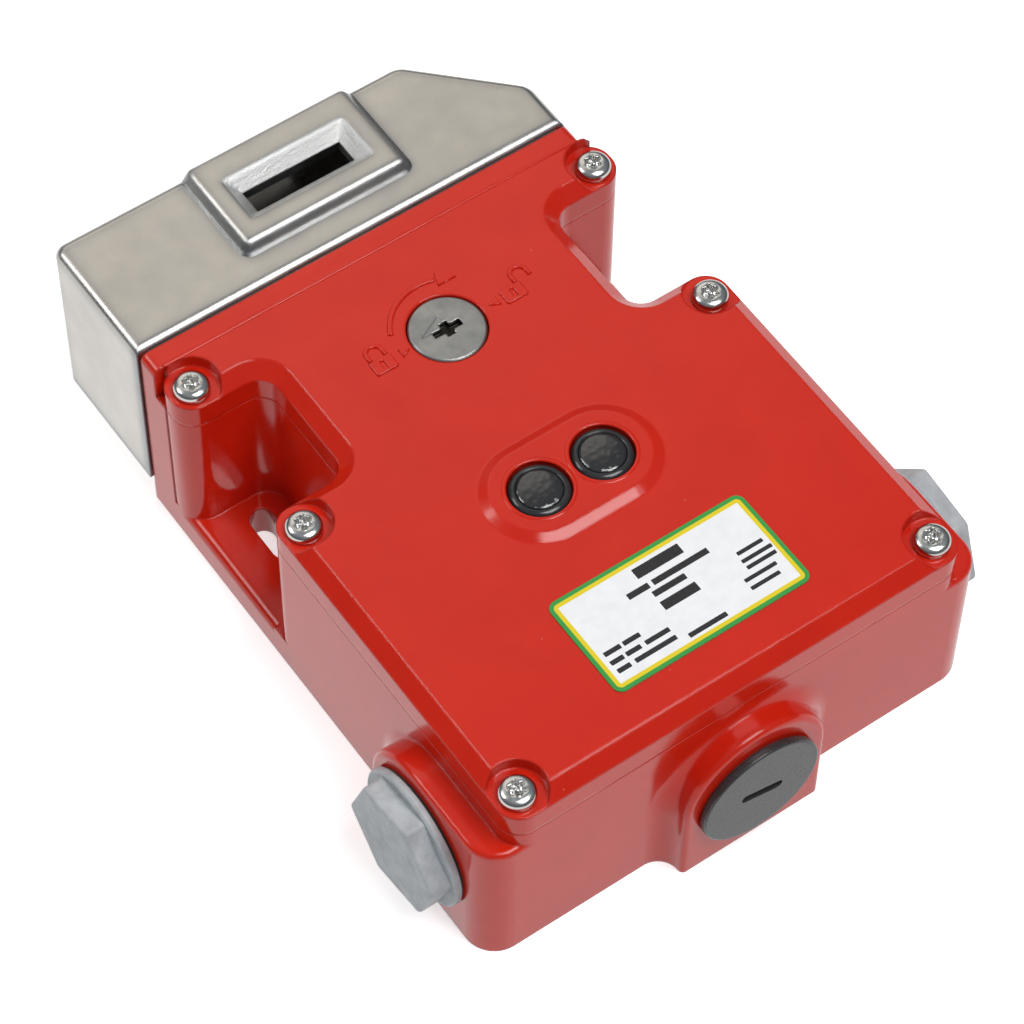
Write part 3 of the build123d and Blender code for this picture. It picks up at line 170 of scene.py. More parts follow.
class SteelLook(bpy.types.PropertyGroup):
    """Cast head, screws and release."""

    head_tone: colour("Head tone", "the polished casting", (0.66, 0.63, 0.585))
    cast_tone: colour("Cast tone", "the casting where it is left rough", (0.76, 0.755, 0.74))
    screw_tone: colour("Screw tone", "the bright screws", (0.72, 0.715, 0.7))
    release_tone: colour("Release tone", "the turned release", (0.46, 0.46, 0.445))
    works_tone: colour("Works tone", "the steel inside", (0.42, 0.42, 0.42))
    # Recess tone is painted shade down in the cross recess
    recess_shade_tone: colour("Recess tone", "Colour down in the cross recess", (0.035, 0.033, 0.028))
    patch_width: length("Patch width", "Width of one cloudy patch on the polish", 0.014)
    edge_radius: length("Edge radius", "How softly the edges of the head are rounded", 0.0004)
    boss_radius: length("Boss radius", "How softly the boss on the head is rounded", 0.0018)
    # Edge tone and edge reach set a painted dark reflection near the head's edges
    edge_reflection_tone: colour("Edge tone", "the polish near the edges of the head", (0.2, 0.225, 0.26))
    edge_reflection_reach: length("Edge reach", "How far from its edges the head is darker", 0.0055)


class MouldingLook(bpy.types.PropertyGroup):
    """Plastics, rubber, laminate and brass."""

    grey_plug: colour("Grey plug", "the two side plugs", (0.46, 0.49, 0.51))
    black_plug: colour("Black plug", "the end plug", (0.04, 0.04, 0.042))
    black: colour("Black moulding", "the black mouldings", (0.012, 0.012, 0.012))
    white: colour("White moulding", "the white mouldings", (0.68, 0.66, 0.6))
    clamp: colour("Wire clamps", "the wire clamps", (0.1, 0.13, 0.15))
    laminate: colour("Laminate", "the circuit laminate", (0.01, 0.09, 0.03))
    copper: colour("Copper", "the enamelled wire", (0.5, 0.16, 0.05))
    brass: colour("Brass", "the contacts", (0.7, 0.5, 0.2))
    rubber: colour("Rubber", "the seals", (0.014, 0.014, 0.014))
    grain_width: length("Grain width", "Width of one pip of the mould's grain", 0.00035)
    gasket_inset: length("Gasket inset", "From the edge of the head to its gasket", 0.00035)
    gasket_width: length("Gasket width", "Width of the head's gasket", 0.003)
    gasket_corner: length("Gasket corner", "Corner radius of the head's gasket", 0.003)


class LampLook(bpy.types.PropertyGroup):
    """Glossy ring and smoky dome of each indicator lamp."""

    ring: colour("Ring", "the ring", (0.03, 0.032, 0.034))
    lens: colour("Lens", "the smoky dome", (0.08, 0.08, 0.083))
    body: colour("Lamp body", "the lamp under the dome", (0.16, 0.15, 0.13))
    ring_radius: length("Ring radius", "Outer radius of the ring", 0.0064)
    window_radius: length("Window radius", "Radius of the dome in the ring", 0.0049)
    ring_rise: length("Ring rise", "Height of the ring above the cover's top", 0.0009)
    dome_rise: length("Dome rise", "Height of the dome above the ring", 0.0004)


class LidScrewLook(bpy.types.PropertyGroup):
    """Pan-head lid screws with a six-lobe recess round a pin."""

    head_radius: length("Head radius", "Radius of the pan head", 0.00385)
    head_height: length("Head height", "Height of the pan head", 0.0025)
    shank_radius: length("Shank radius", "Radius of the shank", 0.002)
    shank_length: length("Shank length", "Length under the head", 0.0158)
    lobe_outer: length("Lobe outer", "Largest radius of the recess", 0.00195)
    lobe_inner: length("Lobe inner", "Smallest radius of the recess", 0.0014)
    pin_radius: length("Pin radius", "Radius of the pin in the recess", 0.0006)
    recess_depth: length("Recess depth", "Depth of the recess", 0.0019)
    seat_drop: length("Seat drop", "From the top of the cover to the seat", 0.003)
    seed: IntProperty(name="Seed", description="Picks how far each screw is turned", default=4)


class MarkLook(bpy.types.PropertyGroup):
    """Raised signs round the release, and the bead along the end wall."""

    rise: length("Rise", "Height of the signs above the cover", 0.0003)
    edge: length("Edge", "Width of the sloping edge of a sign", 0.00026)
    band: length("Band", "Width of the arrow's arc and of a shackle", 0.00095)
    bead_length: length("Bead length", "Length of the bead of enamel along the end wall", 0.1022)
    bead_width: length("Bead width", "Width of that bead", 0.0009)
    bead_rise: length("Bead rise", "Height of that bead above the cover", 0.00018)


class PlateLook(bpy.types.PropertyGroup):
    """Print on the rating plate."""

    field: colour("Field", "the plate's field", (0.97, 0.97, 0.99))
    outer: colour("Outer border", "the outer border", (0.03, 0.34, 0.055))
    inner: colour("Inner border", "the inner border", (0.85, 0.66, 0.008))
    ink: colour("Ink", "the bars", (0.016, 0.016, 0.017))
    border: length("Border", "Width of one border", 0.0009)
    ink_rise: length("Ink rise", "Thickness of the printed bars", 0.00004)


class SwitchLook(bpy.types.PropertyGroup):
    """Everything that a user would change."""

    camera: PointerProperty(type=CameraLook)
    studio: PointerProperty(type=StudioLook)
    paint: PointerProperty(type=PaintLook)
    steel: PointerProperty(type=SteelLook)
    moulding: PointerProperty(type=MouldingLook)
    lamp: PointerProperty(type=LampLook)
    lid_screw: PointerProperty(type=LidScrewLook)
    mark: PointerProperty(type=MarkLook)
    plate: PointerProperty(type=PlateLook)


# Nodes of materials
def node(tree, kind, inputs=None, **settings):
    """Adds a node. An input is a number, a colour or another node's socket."""
    made = tree.nodes.new(kind)
    for name, value in settings.items():
        setattr(made, name, value)
    for name, value in (inputs or {}).items():
        if isinstance(value, bpy.types.NodeSocket):
            tree.links.new(value, made.inputs[name])
        else:
            made.inputs[name].default_value = value
    return made


def shade(tree, kind, inputs=None, output=0, **settings):
    """Adds a shader node and gives the one output of it that is used."""
    return node(tree, "ShaderNode" + kind, inputs, **settings).outputs[output]


def calc(tree, operation, *values):
    inputs = dict(enumerate(values))
    return shade(tree, "Math", inputs, operation=operation)


def times(tree, *values):
    return calc(tree, "MULTIPLY", *values)


def axes(tree, place):
    return node(tree, "ShaderNodeSeparateXYZ", {0: place}).outputs


def remap(tree, value, low, high, to_low=0.0, to_high=1.0):
    inputs = {0: value, 1: low, 2: high, 3: to_low, 4: to_high}
    return shade(tree, "MapRange", inputs, clamp=True)


def gloss(tree, pattern, low, high):
    """Roughness from low to high over the middle of a noise's range."""
    return remap(tree, pattern, 0.3, 0.7, low, high)


def blend(tree, factor, first, second):
    inputs = {0: factor, 6: opaque(first), 7: opaque(second)}
    return shade(tree, "Mix", inputs, data_type="RGBA", output=2)


def opaque(value):
    return value if isinstance(value, bpy.types.NodeSocket) else (*value, 1.0)


def scaled(tone, part):
    return [part * value for value in tone]


def faded(tree, factor, tone, part):
    return blend(tree, factor, tone, scaled(tone, part))


def noise(tree, place, width, detail=2.0, roughness=0.5):
    """Soft noise whose blots are about width across."""
    inputs = {"Vector": place, "Scale": 1.0 / width, "Detail": detail, "Roughness": roughness}
    return shade(tree, "TexNoise", inputs)


def bump(tree, height, distance, normal=None):
    inputs = {"Height": height, "Distance": distance}
    if normal is not None:
        inputs["Normal"] = normal
    return shade(tree, "Bump", inputs)


def soft_edges(tree, radius):
    return shade(tree, "Bevel", {"Radius": radius}, samples=6)


def shifted(tree, place, offset, scale=(1.0, 1.0, 1.0)):
    inputs = {"Vector": place, "Location": offset, "Scale": scale}
    return shade(tree, "Mapping", inputs)


def within(tree, place, lows, highs):
    """1 inside a box in the object's own coordinates, 0 outside."""
    parts = axes(tree, place)
    mask = None
    for part, low, high in zip(parts, lows, highs):
        for operation, limit in (("GREATER_THAN", low), ("LESS_THAN", high)):
            if limit is None:
                continue
            test = calc(tree, operation, part, limit)
            mask = test if mask is None else times(tree, mask, test)
    return mask


def new_finish(name, **constants):
    """A material's tree, the object's own coordinates and a function that joins up its shader."""
    material = bpy.data.materials.new(name)
    material.use_nodes = True
    tree = material.node_tree
    shader = tree.nodes["Principled BSDF"]
    for socket, value in constants.items():
        shader.inputs[socket.replace("_", " ")].default_value = value

    def join(tone, sheen, normal):
        for socket, value in (("Base Color", tone), ("Roughness", sheen), ("Normal", normal)):
            tree.links.new(value, shader.inputs[socket])
        return material

    return tree, shade(tree, "TexCoord", output="Object"), join


# Finishes
def cast_enamel(look, name, radius):
    """Gloss enamel over a casting: fine ripples, cloudy depth and a few dust specks."""
    tree, place, join = new_finish(name, IOR=1.47)
    cloud = remap(tree, noise(tree, place, 0.014, 4.0, 0.6), 0.35, 0.68)
    body = blend(tree, cloud, look.enamel, look.enamel_deep)
    specks = node(tree, "ShaderNodeTexVoronoi", {"Vector": place, "Scale": 190.0})
    chosen = shade(tree, "SeparateColor", {0: specks.outputs["Color"]})
    speck = calc(tree, "LESS_THAN", specks.outputs["Distance"], 0.035)
    speck = times(tree, speck, calc(tree, "GREATER_THAN", chosen, 0.8))
    body = blend(tree, times(tree, speck, 0.5), body, look.speck)
    peel = noise(tree, place, look.peel_width, 2.0, 0.45)
    swell = noise(tree, place, 0.022, 1.0)
    height = calc(tree, "ADD", peel, times(tree, swell, 6.0))
    normal = bump(tree, height, look.peel_height, soft_edges(tree, radius))
    sheen = gloss(tree, noise(tree, place, 0.004, 3.0), 0.1, 0.17)
    return join(body, sheen, normal)


def polished_casting(look):
    """Polished stainless head: cloudy patches, a slow waviness, rough metal in its mouths and painted
    edge reflections.
    """
    tree, place, join = new_finish("polished_casting", Metallic=1.0)
    patches = remap(tree, noise(tree, place, look.patch_width, 5.0, 0.62), 0.36, 0.66)
    tone = faded(tree, patches, look.head_tone, 0.9)
    mouth = calc(tree, "MAXIMUM", *[within(tree, place, *box) for box in (upper_mouth, rear_mouth)])
    flat_top = within(tree, place, *boss_top)
    mouth = times(tree, mouth, calc(tree, "SUBTRACT", 1.0, flat_top))
    grit = noise(tree, place, 0.0007, 4.0, 0.7)
    tone = blend(tree, mouth, tone, look.cast_tone)
    wave = noise(tree, place, 0.026, 1.0)
    height = times(tree, wave, 30.0)
    rough_height = times(tree, grit, times(tree, mouth, 14.0))
    height = calc(tree, "ADD", height, rough_height)
    boss = within(tree, place, *head_boss)
    radius = remap(tree, boss, 0.0, 1.0, look.edge_radius, look.boss_radius)
    normal = bump(tree, height, 0.000012, soft_edges(tree, radius))
    # Painted reflection: the tone turns blue-grey near the head's edges, where the widely softened
    # normal leaves the face's own
    face = shade(tree, "NewGeometry", output="Normal")
    turned = {0: soft_edges(tree, look.edge_reflection_reach), 1: face}
    level = shade(tree, "VectorMath", turned, operation="DOT_PRODUCT", output="Value")
    painted_edge_reflection = remap(tree, level, 0.86, 0.998, 0.85, 0.0)
    painted_edge_reflection = times(tree, painted_edge_reflection, calc(tree, "SUBTRACT", 1.0, mouth))
    tone = blend(tree, painted_edge_reflection, tone, look.edge_reflection_tone)
    sheen = gloss(tree, noise(tree, place, 0.008, 4.0, 0.6), 0.26, 0.36)
    sheen = calc(tree, "ADD", sheen, times(tree, mouth, 0.16))
    return join(tone, sheen, normal)


def bright_steel(look):
    """Screws: polished heads with faint handling marks."""
    tree, place, join = new_finish("bright_steel", Metallic=1.0)
    dull = noise(tree, place, 0.0012, 4.0, 0.6)
    tone = faded(tree, dull, look.screw_tone, 0.8)
    sheen = gloss(tree, dull, 0.12, 0.28)
    fine = noise(tree, place, 0.0003, 2.0)
    normal = bump(tree, fine, 0.000004, soft_edges(tree, 0.00015))
    return join(tone, sheen, normal)


def turned_steel(name, tone_colour, shift, ring, sheens, radius=0.0002, recess=None):
    """Steel from a lathe: fine rings about the upright axis that shift brings to 0, and painted shade
    in a recess.
    """
    tree, place, join = new_finish(name, Metallic=1.0)
    parts = axes(tree, shifted(tree, place, shift))
    squares = [times(tree, part, part) for part in parts[:2]]
    reach = calc(tree, "SQRT", calc(tree, "ADD", *squares))
    cloud = noise(tree, place, 0.0035, 4.0, 0.6)
    wander = calc(tree, "ADD", reach, times(tree, cloud, ring * 0.6))
    rings = calc(tree, "SINE", times(tree, wander, 2 * pi / ring))
    tone = faded(tree, remap(tree, cloud, 0.35, 0.65), tone_colour, 0.78)
    grit = noise(tree, place, 0.0004, 3.0, 0.6)
    height = calc(tree, "ADD", rings, times(tree, grit, 2.0))
    normal = bump(tree, height, 0.0000025, soft_edges(tree, radius))
    sheen = gloss(tree, cloud, *sheens)
    # Painted shade: the recess box takes a flat dark tone in place of its shadow
    if recess:
        lows, highs, dark = recess
        tone = blend(tree, within(tree, place, lows, highs), tone, dark)
    return join(tone, sheen, normal)


def drawn_wire():
    """Spring wire with drawing marks and a little oil colour."""
    tree, place, join = new_finish("drawn_wire", Metallic=1.0)
    marks = noise(tree, shifted(tree, place, (0, 0, 0), (1.0, 0.15, 1.0)), 0.0004, 3.0)
    tone = blend(tree, marks, (0.34, 0.33, 0.32), (0.22, 0.2, 0.18))
    sheen = gloss(tree, marks, 0.25, 0.4)
    return join(tone, sheen, bump(tree, marks, 0.000006))


def zinc_sheet():
    """Zinc plate with its soft spangle."""
    tree, place, join = new_finish("zinc_sheet", Metallic=1.0)
    spangle = node(tree, "ShaderNodeTexVoronoi", {"Vector": place, "Scale": 320.0})
    grain = shade(tree, "SeparateColor", {0: spangle.outputs["Color"]})
    tone = blend(tree, grain, (0.55, 0.54, 0.48), (0.44, 0.44, 0.4))
    sheen = remap(tree, grain, 0.0, 1.0, 0.3, 0.45)
    normal = bump(tree, noise(tree, place, 0.002, 3.0), 0.00001, soft_edges(tree, 0.0002))
    return join(tone, sheen, normal)


def moulding(name, tone_colour, grain_width, sheens, mottle=0.12):
    """Moulded plastic: grain of the tool, faint flow marks and softened edges."""
    tree, place, join = new_finish(name, IOR=1.49)
    flow = noise(tree, place, 0.0045, 5.0, 0.65)
    paler = [min(1.0, part * (1.0 + mottle)) for part in tone_colour]
    deeper = [part * (1.0 - mottle) for part in tone_colour]
    tone = blend(tree, remap(tree, flow, 0.34, 0.66), paler, deeper)
    grain = noise(tree, place, grain_width, 3.0, 0.6)
    height = calc(tree, "ADD", grain, times(tree, flow, 2.0))
    normal = bump(tree, height, 0.00001, soft_edges(tree, 0.0003))
    sheen = gloss(tree, grain, *sheens)
    return join(tone, sheen, normal)


def seal_rubber(look):
    """Rubber with a bloom of dust in its grain."""
    tree, place, join = new_finish("seal_rubber", IOR=1.5, Sheen_Weight=0.25, Sheen_Roughness=0.5)
    bloom = noise(tree, place, 0.0012, 5.0, 0.7)
    tone = faded(tree, bloom, look.rubber, 3.0)
    sheen = gloss(tree, bloom, 0.55, 0.8)
    return join(tone, sheen, bump(tree, bloom, 0.00002))


def wound_copper(look):
    """Enamelled wire laid turn by turn along the coil."""
    tree, place, join = new_finish("wound_copper", Metallic=1.0, Coat_Weight=0.5, Coat_Roughness=0.12)
    along = axes(tree, place)[1]
    turns = calc(tree, "SINE", times(tree, along, 2 * pi / wire_pitch))
    # Painted shade: the tone falls to half between turns, where the bump sinks
    tone = blend(tree, remap(tree, turns, -1.0, 1.0), scaled(look.copper, 0.5), look.copper)
    sheen = gloss(tree, noise(tree, place, 0.002, 3.0), 0.22, 0.36)
    return join(tone, sheen, bump(tree, turns, 0.00006))


def contact_brass(look):
    """Stamped brass, a little tarnished."""
    tree, place, join = new_finish("contact_brass", Metallic=1.0)
    tarnish = noise(tree, place, 0.0018, 4.0, 0.6)
    tone = faded(tree, tarnish, look.brass, 0.55)
    sheen = gloss(tree, tarnish, 0.22, 0.42)
    return join(tone, sheen, bump(tree, tarnish, 0.000006))


def circuit_laminate(look):
    """Lacquered glass laminate: its cloth shows through the lacquer."""
    tree, place, join = new_finish("circuit_laminate", Coat_Weight=0.6, Coat_Roughness=0.15)
    parts = axes(tree, place)
    threads = [calc(tree, "SINE", times(tree, part, 2 * pi / cloth_pitch)) for part in parts[:2]]
    cloth = times(tree, *threads)
    tone = faded(tree, remap(tree, cloth, -1.0, 1.0), look.laminate, 1.7)
    sheen = gloss(tree, noise(tree, place, 0.003, 3.0), 0.3, 0.45)
    return join(tone, sheen, bump(tree, cloth, 0.000008))


def smoked_lens(look):
    """Smoky moulded dome with facets below its gloss and a few flow lines."""
    tree, place, join = new_finish("smoked_lens", IOR=1.49, Transmission_Weight=0.75, Coat_Weight=1.0)
    flow = noise(tree, place, 0.003, 3.0)
    tone = faded(tree, flow, look.lens, 0.6)
    facets = shade(tree, "TexVoronoi", {"Vector": place, "Scale": 620.0}, output="Distance")
    sheen = gloss(tree, flow, 0.06, 0.16)
    return join(tone, sheen, bump(tree, facets, 0.00022))


def printed_plate(look, centre, size, corner):
    """White field with two rounded borders printed round it."""
    tree, place, join = new_finish("printed_plate", IOR=1.5, Coat_Weight=0.4, Coat_Roughness=0.12)
    parts = axes(tree, place)
    over = []
    for part, middle, whole in zip(parts, centre, size):
        away = calc(tree, "ABSOLUTE", calc(tree, "SUBTRACT", part, middle))
        over.append(calc(tree, "SUBTRACT", away, whole / 2 - corner))
    outside = [calc(tree, "MAXIMUM", part, 0.0) for part in over]
    squares = [times(tree, part, part) for part in outside]
    reach = calc(tree, "SQRT", calc(tree, "ADD", *squares))
    reach = calc(tree, "ADD", reach, calc(tree, "MINIMUM", calc(tree, "MAXIMUM", *over), 0.0))
    reach = calc(tree, "SUBTRACT", reach, corner)
    grime = noise(tree, place, 0.003, 4.0, 0.6)
    field = faded(tree, remap(tree, grime, 0.35, 0.7), look.field, 0.93)
    tone = blend(tree, calc(tree, "GREATER_THAN", reach, -2 * look.border), field, look.inner)
    tone = blend(tree, calc(tree, "GREATER_THAN", reach, -look.border), tone, look.outer)
    sheen = gloss(tree, noise(tree, place, 0.001, 3.0), 0.32, 0.44)
    return join(tone, sheen, bump(tree, grime, 0.000008))


def printing_ink(look):
    """Ink of the bars, a little uneven where it lies thin."""
    tree, place, join = new_finish("printing_ink", IOR=1.5)
    thin = noise(tree, place, 0.0006, 4.0, 0.7)
    tone = faded(tree, remap(tree, thin, 0.4, 0.8), look.ink, 2.0)
    sheen = gloss(tree, thin, 0.35, 0.5)
    return join(tone, sheen, bump(tree, thin, 0.000004))


def dress(material, *names):
    """Gives CAD nodes a finish; their meshes stay as they are."""
    for name in names:
        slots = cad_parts[name].material_slots
        if not slots:
            raise ValueError(f"{name} has no material slot")
        for slot in slots:
            slot.material = material


# Meshes of the added pieces
def added(name, data):
    """A new object in the scene."""
    made = bpy.data.objects.new(name, data)
    bpy.context.scene.collection.objects.link(made)
    return made


def evaluated_mesh(carrier):
    """Plain mesh of what an object shows."""
    bpy.context.view_layer.update()
    seen = carrier.evaluated_get(bpy.context.evaluated_depsgraph_get())
    return bpy.data.meshes.new_from_object(seen)


def finish_piece(name, mesh, material, replaced=(), body="switch_body"):
    """Links a mesh as a piece that rides on a body and takes a slot's finish."""
    piece = added(name, mesh)
    mesh.name = name
    mesh.materials.clear()
    mesh.materials.append(material)
    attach(piece, body)
    if replaced:
        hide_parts(*replaced)
    return piece


def ring_stack(bottom, rings, top, count):
    """Closed surface between two poles, through rings given as (height, radius at an angle)."""
    shape = bmesh.new()
    first = shape.verts.new((0.0, 0.0, bottom))
    rows = []
    for height, radius in rings:
        row = []
        for step in range(count):
            angle = 2 * pi * step / count
            reach = radius(angle)
            row.append(shape.verts.new((reach * cos(angle), reach * sin(angle), height)))
        rows.append(row)
    last = shape.verts.new((0.0, 0.0, top))
    for step in range(count):
        after = (step + 1) % count
        shape.faces.new((first, rows[0][after], rows[0][step]))
        shape.faces.new((last, rows[-1][step], rows[-1][after]))
        for lower, upper in zip(rows, rows[1:]):
            shape.faces.new((lower[step], lower[after], upper[after], upper[step]))
    return smooth_mesh(shape)


def turned_ring(profile, count):
    """Closed ring turned from a closed profile of (radius, height)."""
    shape = bmesh.new()
    turns = [2 * pi * step / count for step in range(count)]
    rows = [
        [shape.verts.new((reach * cos(turn), reach * sin(turn), height)) for turn in turns]
        for reach, height in profile
    ]
    for lower, upper in zip(rows, rows[1:] + rows[:1]):
        for step in range(count):
            after = (step + 1) % count
            shape.faces.new((lower[step], lower[after], upper[after], upper[step]))
    return smooth_mesh(shape)


def smooth_mesh(shape):
    for face in shape.faces:
        face.smooth = True
    return plain_mesh(shape)


def plain_mesh(shape):
    """Mesh of a shape, with its faces turned outward."""
    bmesh.ops.recalc_face_normals(shape, faces=shape.faces)
    mesh = bpy.data.meshes.new("plain")
    shape.to_mesh(mesh)
    shape.free()
    return mesh


def lamp_ring_mesh(look):
    """Ring of a lamp about the origin, with its bowl, the top of the cover at height 0."""
    outer, inner, top = look.ring_radius, look.window_radius, look.ring_rise
    bowl, floor = 0.00585, -0.00295
    return turned_ring([
        (bowl, floor), (bowl, -0.00201), (outer - 0.0001, -0.002), (outer, -0.0019),
        (outer, top - 0.0011), (outer - 0.00008, top - 0.00075), (outer - 0.0003, top - 0.0004),
        (outer - 0.00065, top - 0.00015), (outer - 0.0011, top), (inner + 0.0003, top),
        (inner + 0.0001, top - 0.0001), (inner, top - 0.0003), (inner - 0.0003, top - 0.0016),
        (inner - 0.001, top - 0.0031), (inner - 0.0015, floor),
    ], turned_steps)


def lamp_lip_mesh():
    """Rounded lip of a lamp hole about the origin, the top of the cover at height 0."""
    return turned_ring([
        (0.0071, 0.0005), (0.00672, 0.0005), (0.00668, 0.0007), (0.0067, 0.0009), (0.0068, 0.00106),
        (0.00698, 0.00114), (0.00722, 0.00114), (0.00745, 0.00106), (0.0077, 0.00097), (0.0077, 0.0009),
    ], turned_steps)


def lamp_dome_mesh(look):
    """Dome of a lamp about the origin, hollow below, the top of the cover at height 0."""
    radius = look.window_radius - 0.00005
    rim = look.ring_rise - 0.0006
    top = look.ring_rise + look.dome_rise
    below = [(0.3, 0.0004), (0.6, 0.0003), (0.8, 0.00015), (0.93, 0.0)]
    above = [
        (0.97, 0.0), (1.0, 0.0003), (0.96, 0.00055), (0.86, 0.00072), (0.66, 0.00086), (0.4, 0.00095),
    ]
    scale = (top - rim) / mm
    heights = [(rim + rise * scale, part * radius) for part, rise in below + above]
    rings = [(height, lambda angle, reach=reach: reach) for height, reach in heights]
    return ring_stack(rim + 0.00043 * scale, rings, top, turned_steps)


# Pan head of a screw, as shares of its height and radius
pan_profile = [
    (0.0, 0.97), (0.03, 0.995), (0.42, 1.0), (0.56, 0.985), (0.7, 0.94), (0.82, 0.87), (0.92, 0.76),
    (0.985, 0.62),
]


def lid_screw_mesh(look):
    """One pan-head screw standing on its seat at the origin."""
    height = look.head_height
    middle = (look.lobe_outer + look.lobe_inner) / 2
    swing = (look.lobe_outer - look.lobe_inner) / 2
    floor = height - look.recess_depth

    def plain(reach):
        return lambda angle: reach

    def lobed(spread):
        return lambda angle: (middle + swing * cos(6 * angle)) * spread

    rings = [
        (-look.shank_length, plain(0.75 * look.shank_radius)),
        (-0.97 * look.shank_length, plain(look.shank_radius)),
        (-0.0001, plain(look.shank_radius)),
        (0.0, plain(look.shank_radius + 0.0001)),
        *[(rise * height, plain(reach * look.head_radius)) for rise, reach in pan_profile],
        (height, lobed(1.06)),
        (0.985 * height, lobed(1.01)),
        (0.94 * height, lobed(1.0)),
        (floor + 0.0001, lobed(0.98)),
        (floor, lobed(0.93)),
        (floor, plain(1.12 * look.pin_radius)),
        (floor + 0.0001, plain(look.pin_radius)),
        (0.9 * height, plain(0.96 * look.pin_radius)),
        (0.95 * height, plain(0.75 * look.pin_radius)),
    ]
    return ring_stack(-1.01 * look.shank_length, rings, 0.955 * height, screw_steps)


def placing_tree():
    """Geometry nodes that stand one shape on every point, each turned by a seeded amount."""
    tree = bpy.data.node_groups.new("stand_on_points", "GeometryNodeTree")
    for name, kind in (
        ("Points", "Geometry"), ("Shape", "Object"), ("Size", "Float"), ("Turn seed", "Int"),
        ("Finish", "Material"),
    ):
        tree.interface.new_socket(name, in_out="INPUT", socket_type="NodeSocket" + kind)
    tree.interface.new_socket("Pieces", in_out="OUTPUT", socket_type="NodeSocketGeometry")
    given = tree.nodes.new("NodeGroupInput").outputs
    shape = node(tree, "GeometryNodeObjectInfo", {"Object": given["Shape"]}).outputs["Geometry"]
    limits = {"Seed": given["Turn seed"], 2: 0.0, 3: 2 * pi}
    turn = node(tree, "FunctionNodeRandomValue", limits, data_type="FLOAT")
    euler = shade(tree, "CombineXYZ", {"Z": turn.outputs[1]})
    rotation = node(tree, "FunctionNodeEulerToRotation", {0: euler}).outputs[0]
    stood = node(tree, "GeometryNodeInstanceOnPoints", {
        "Points": given["Points"], "Instance": shape, "Rotation": rotation, "Scale": given["Size"],
    }).outputs[0]
    real = node(tree, "GeometryNodeRealizeInstances", {0: stood}).outputs[0]
    dressed = node(tree, "GeometryNodeSetMaterial", {"Geometry": real, "Material": given["Finish"]})
    result = tree.nodes.new("NodeGroupOutput")
    tree.links.new(dressed.outputs[0], result.inputs[0])
    return tree


def stood_on_points(places, shape_mesh, material, seed):
    """One plain mesh of the shape stood on every place, made by the placing tree."""
    points = bpy.data.meshes.new("points")
    points.from_pydata(places, [], [])
    shape, carrier = added("shape", shape_mesh), added("carrier", points)
    tree = placing_tree()
    modifier = carrier.modifiers.new("placing", "NODES")
    modifier.node_group = tree
    values = {"Shape": shape, "Size": 1.0, "Turn seed": seed, "Finish": material}
    for item in tree.interface.items_tree:
        if item.in_out == "INPUT" and item.name in values:
            modifier[item.identifier] = values[item.name]
    mesh = evaluated_mesh(carrier)
    carrier.modifiers.remove(modifier)
    for helper in (carrier, shape):
        bpy.data.objects.remove(helper)
    bpy.data.node_groups.remove(tree)
    if not mesh.polygons:
        raise ValueError("the placing tree made no faces")
    return mesh


def arc_points(centre, radius, start, end, count):
    """Points on an arc, with its angles in degrees."""
    step = (end - start) / (count - 1)
    angles = [radians(start + step * index) for index in range(count)]
    return [(centre[0] + radius * cos(angle), centre[1] + radius * sin(angle)) for angle in angles]


def band(inner, outer):
    return outer + inner[::-1]


def rounded_box(centre, width, depth, corner):
    """Outline of a rectangle with rounded corners."""
    outline = []
    for quarter, (side_x, side_y) in enumerate(((1, 1), (-1, 1), (-1, -1), (1, -1))):
        middle = (
            centre[0] + side_x * (width / 2 - corner),
            centre[1] + side_y * (depth / 2 - corner),
        )
        outline += arc_points(middle, corner, 90 * quarter, 90 * quarter + 90, 6)
    return outline


def raised_mesh(outlines, base, rise, edge):
    """Slab over closed outlines, with sloping edges; an outline inside another one is a hole."""
    curve = bpy.data.curves.new("outline", "CURVE")
    curve.dimensions = "2D"
    curve.fill_mode = "BOTH"
    curve.extrude = rise / 2
    curve.bevel_depth = edge
    curve.bevel_resolution = 2
    curve.offset = -edge
    for outline in outlines:
        spline = curve.splines.new("POLY")
        spline.points.add(len(outline) - 1)
        for point, (x, y) in zip(spline.points, outline):
            point.co = (x, y, 0.0, 1.0)
        spline.use_cyclic_u = True
    carrier = added("outline", curve)
    mesh = evaluated_mesh(carrier)
    bpy.data.objects.remove(carrier)
    bpy.data.curves.remove(curve)
    mesh.transform(Matrix.Translation((0.0, 0.0, base)))
    return mesh


def joined(meshes):
    """One mesh of several, with doubled points merged."""
    shape = bmesh.new()
    for mesh in meshes:
        shape.from_mesh(mesh)
    bmesh.ops.remove_doubles(shape, verts=shape.verts, dist=1e-7)
    for mesh in meshes:
        bpy.data.meshes.remove(mesh)
    return plain_mesh(shape)


# Signs round the release, drawn in millimetres on the top of the cover
arrow_centre = (0.8, -3.0)
arrow_radius = 12.4
arrow_span = (156.0, 71.5)
arrow_head = [(5.6, 10.1), (9.0, 6.9), (4.5, 6.9)]
pointers = [
    [(-11.4, -1.8), (-9.2, -2.95), (-11.4, -4.1)],
    [(12.6, -1.9), (12.6, -4.3), (10.3, -3.1)],
]
padlock_width = 5.2
padlock_height = 3.8
shackle_radius = 2.3
shackle_leg = 1.6
shackle_gap = 0.15
closed_padlock_x = -15.8
open_padlock_x = 16.3
padlock_y = -3.3


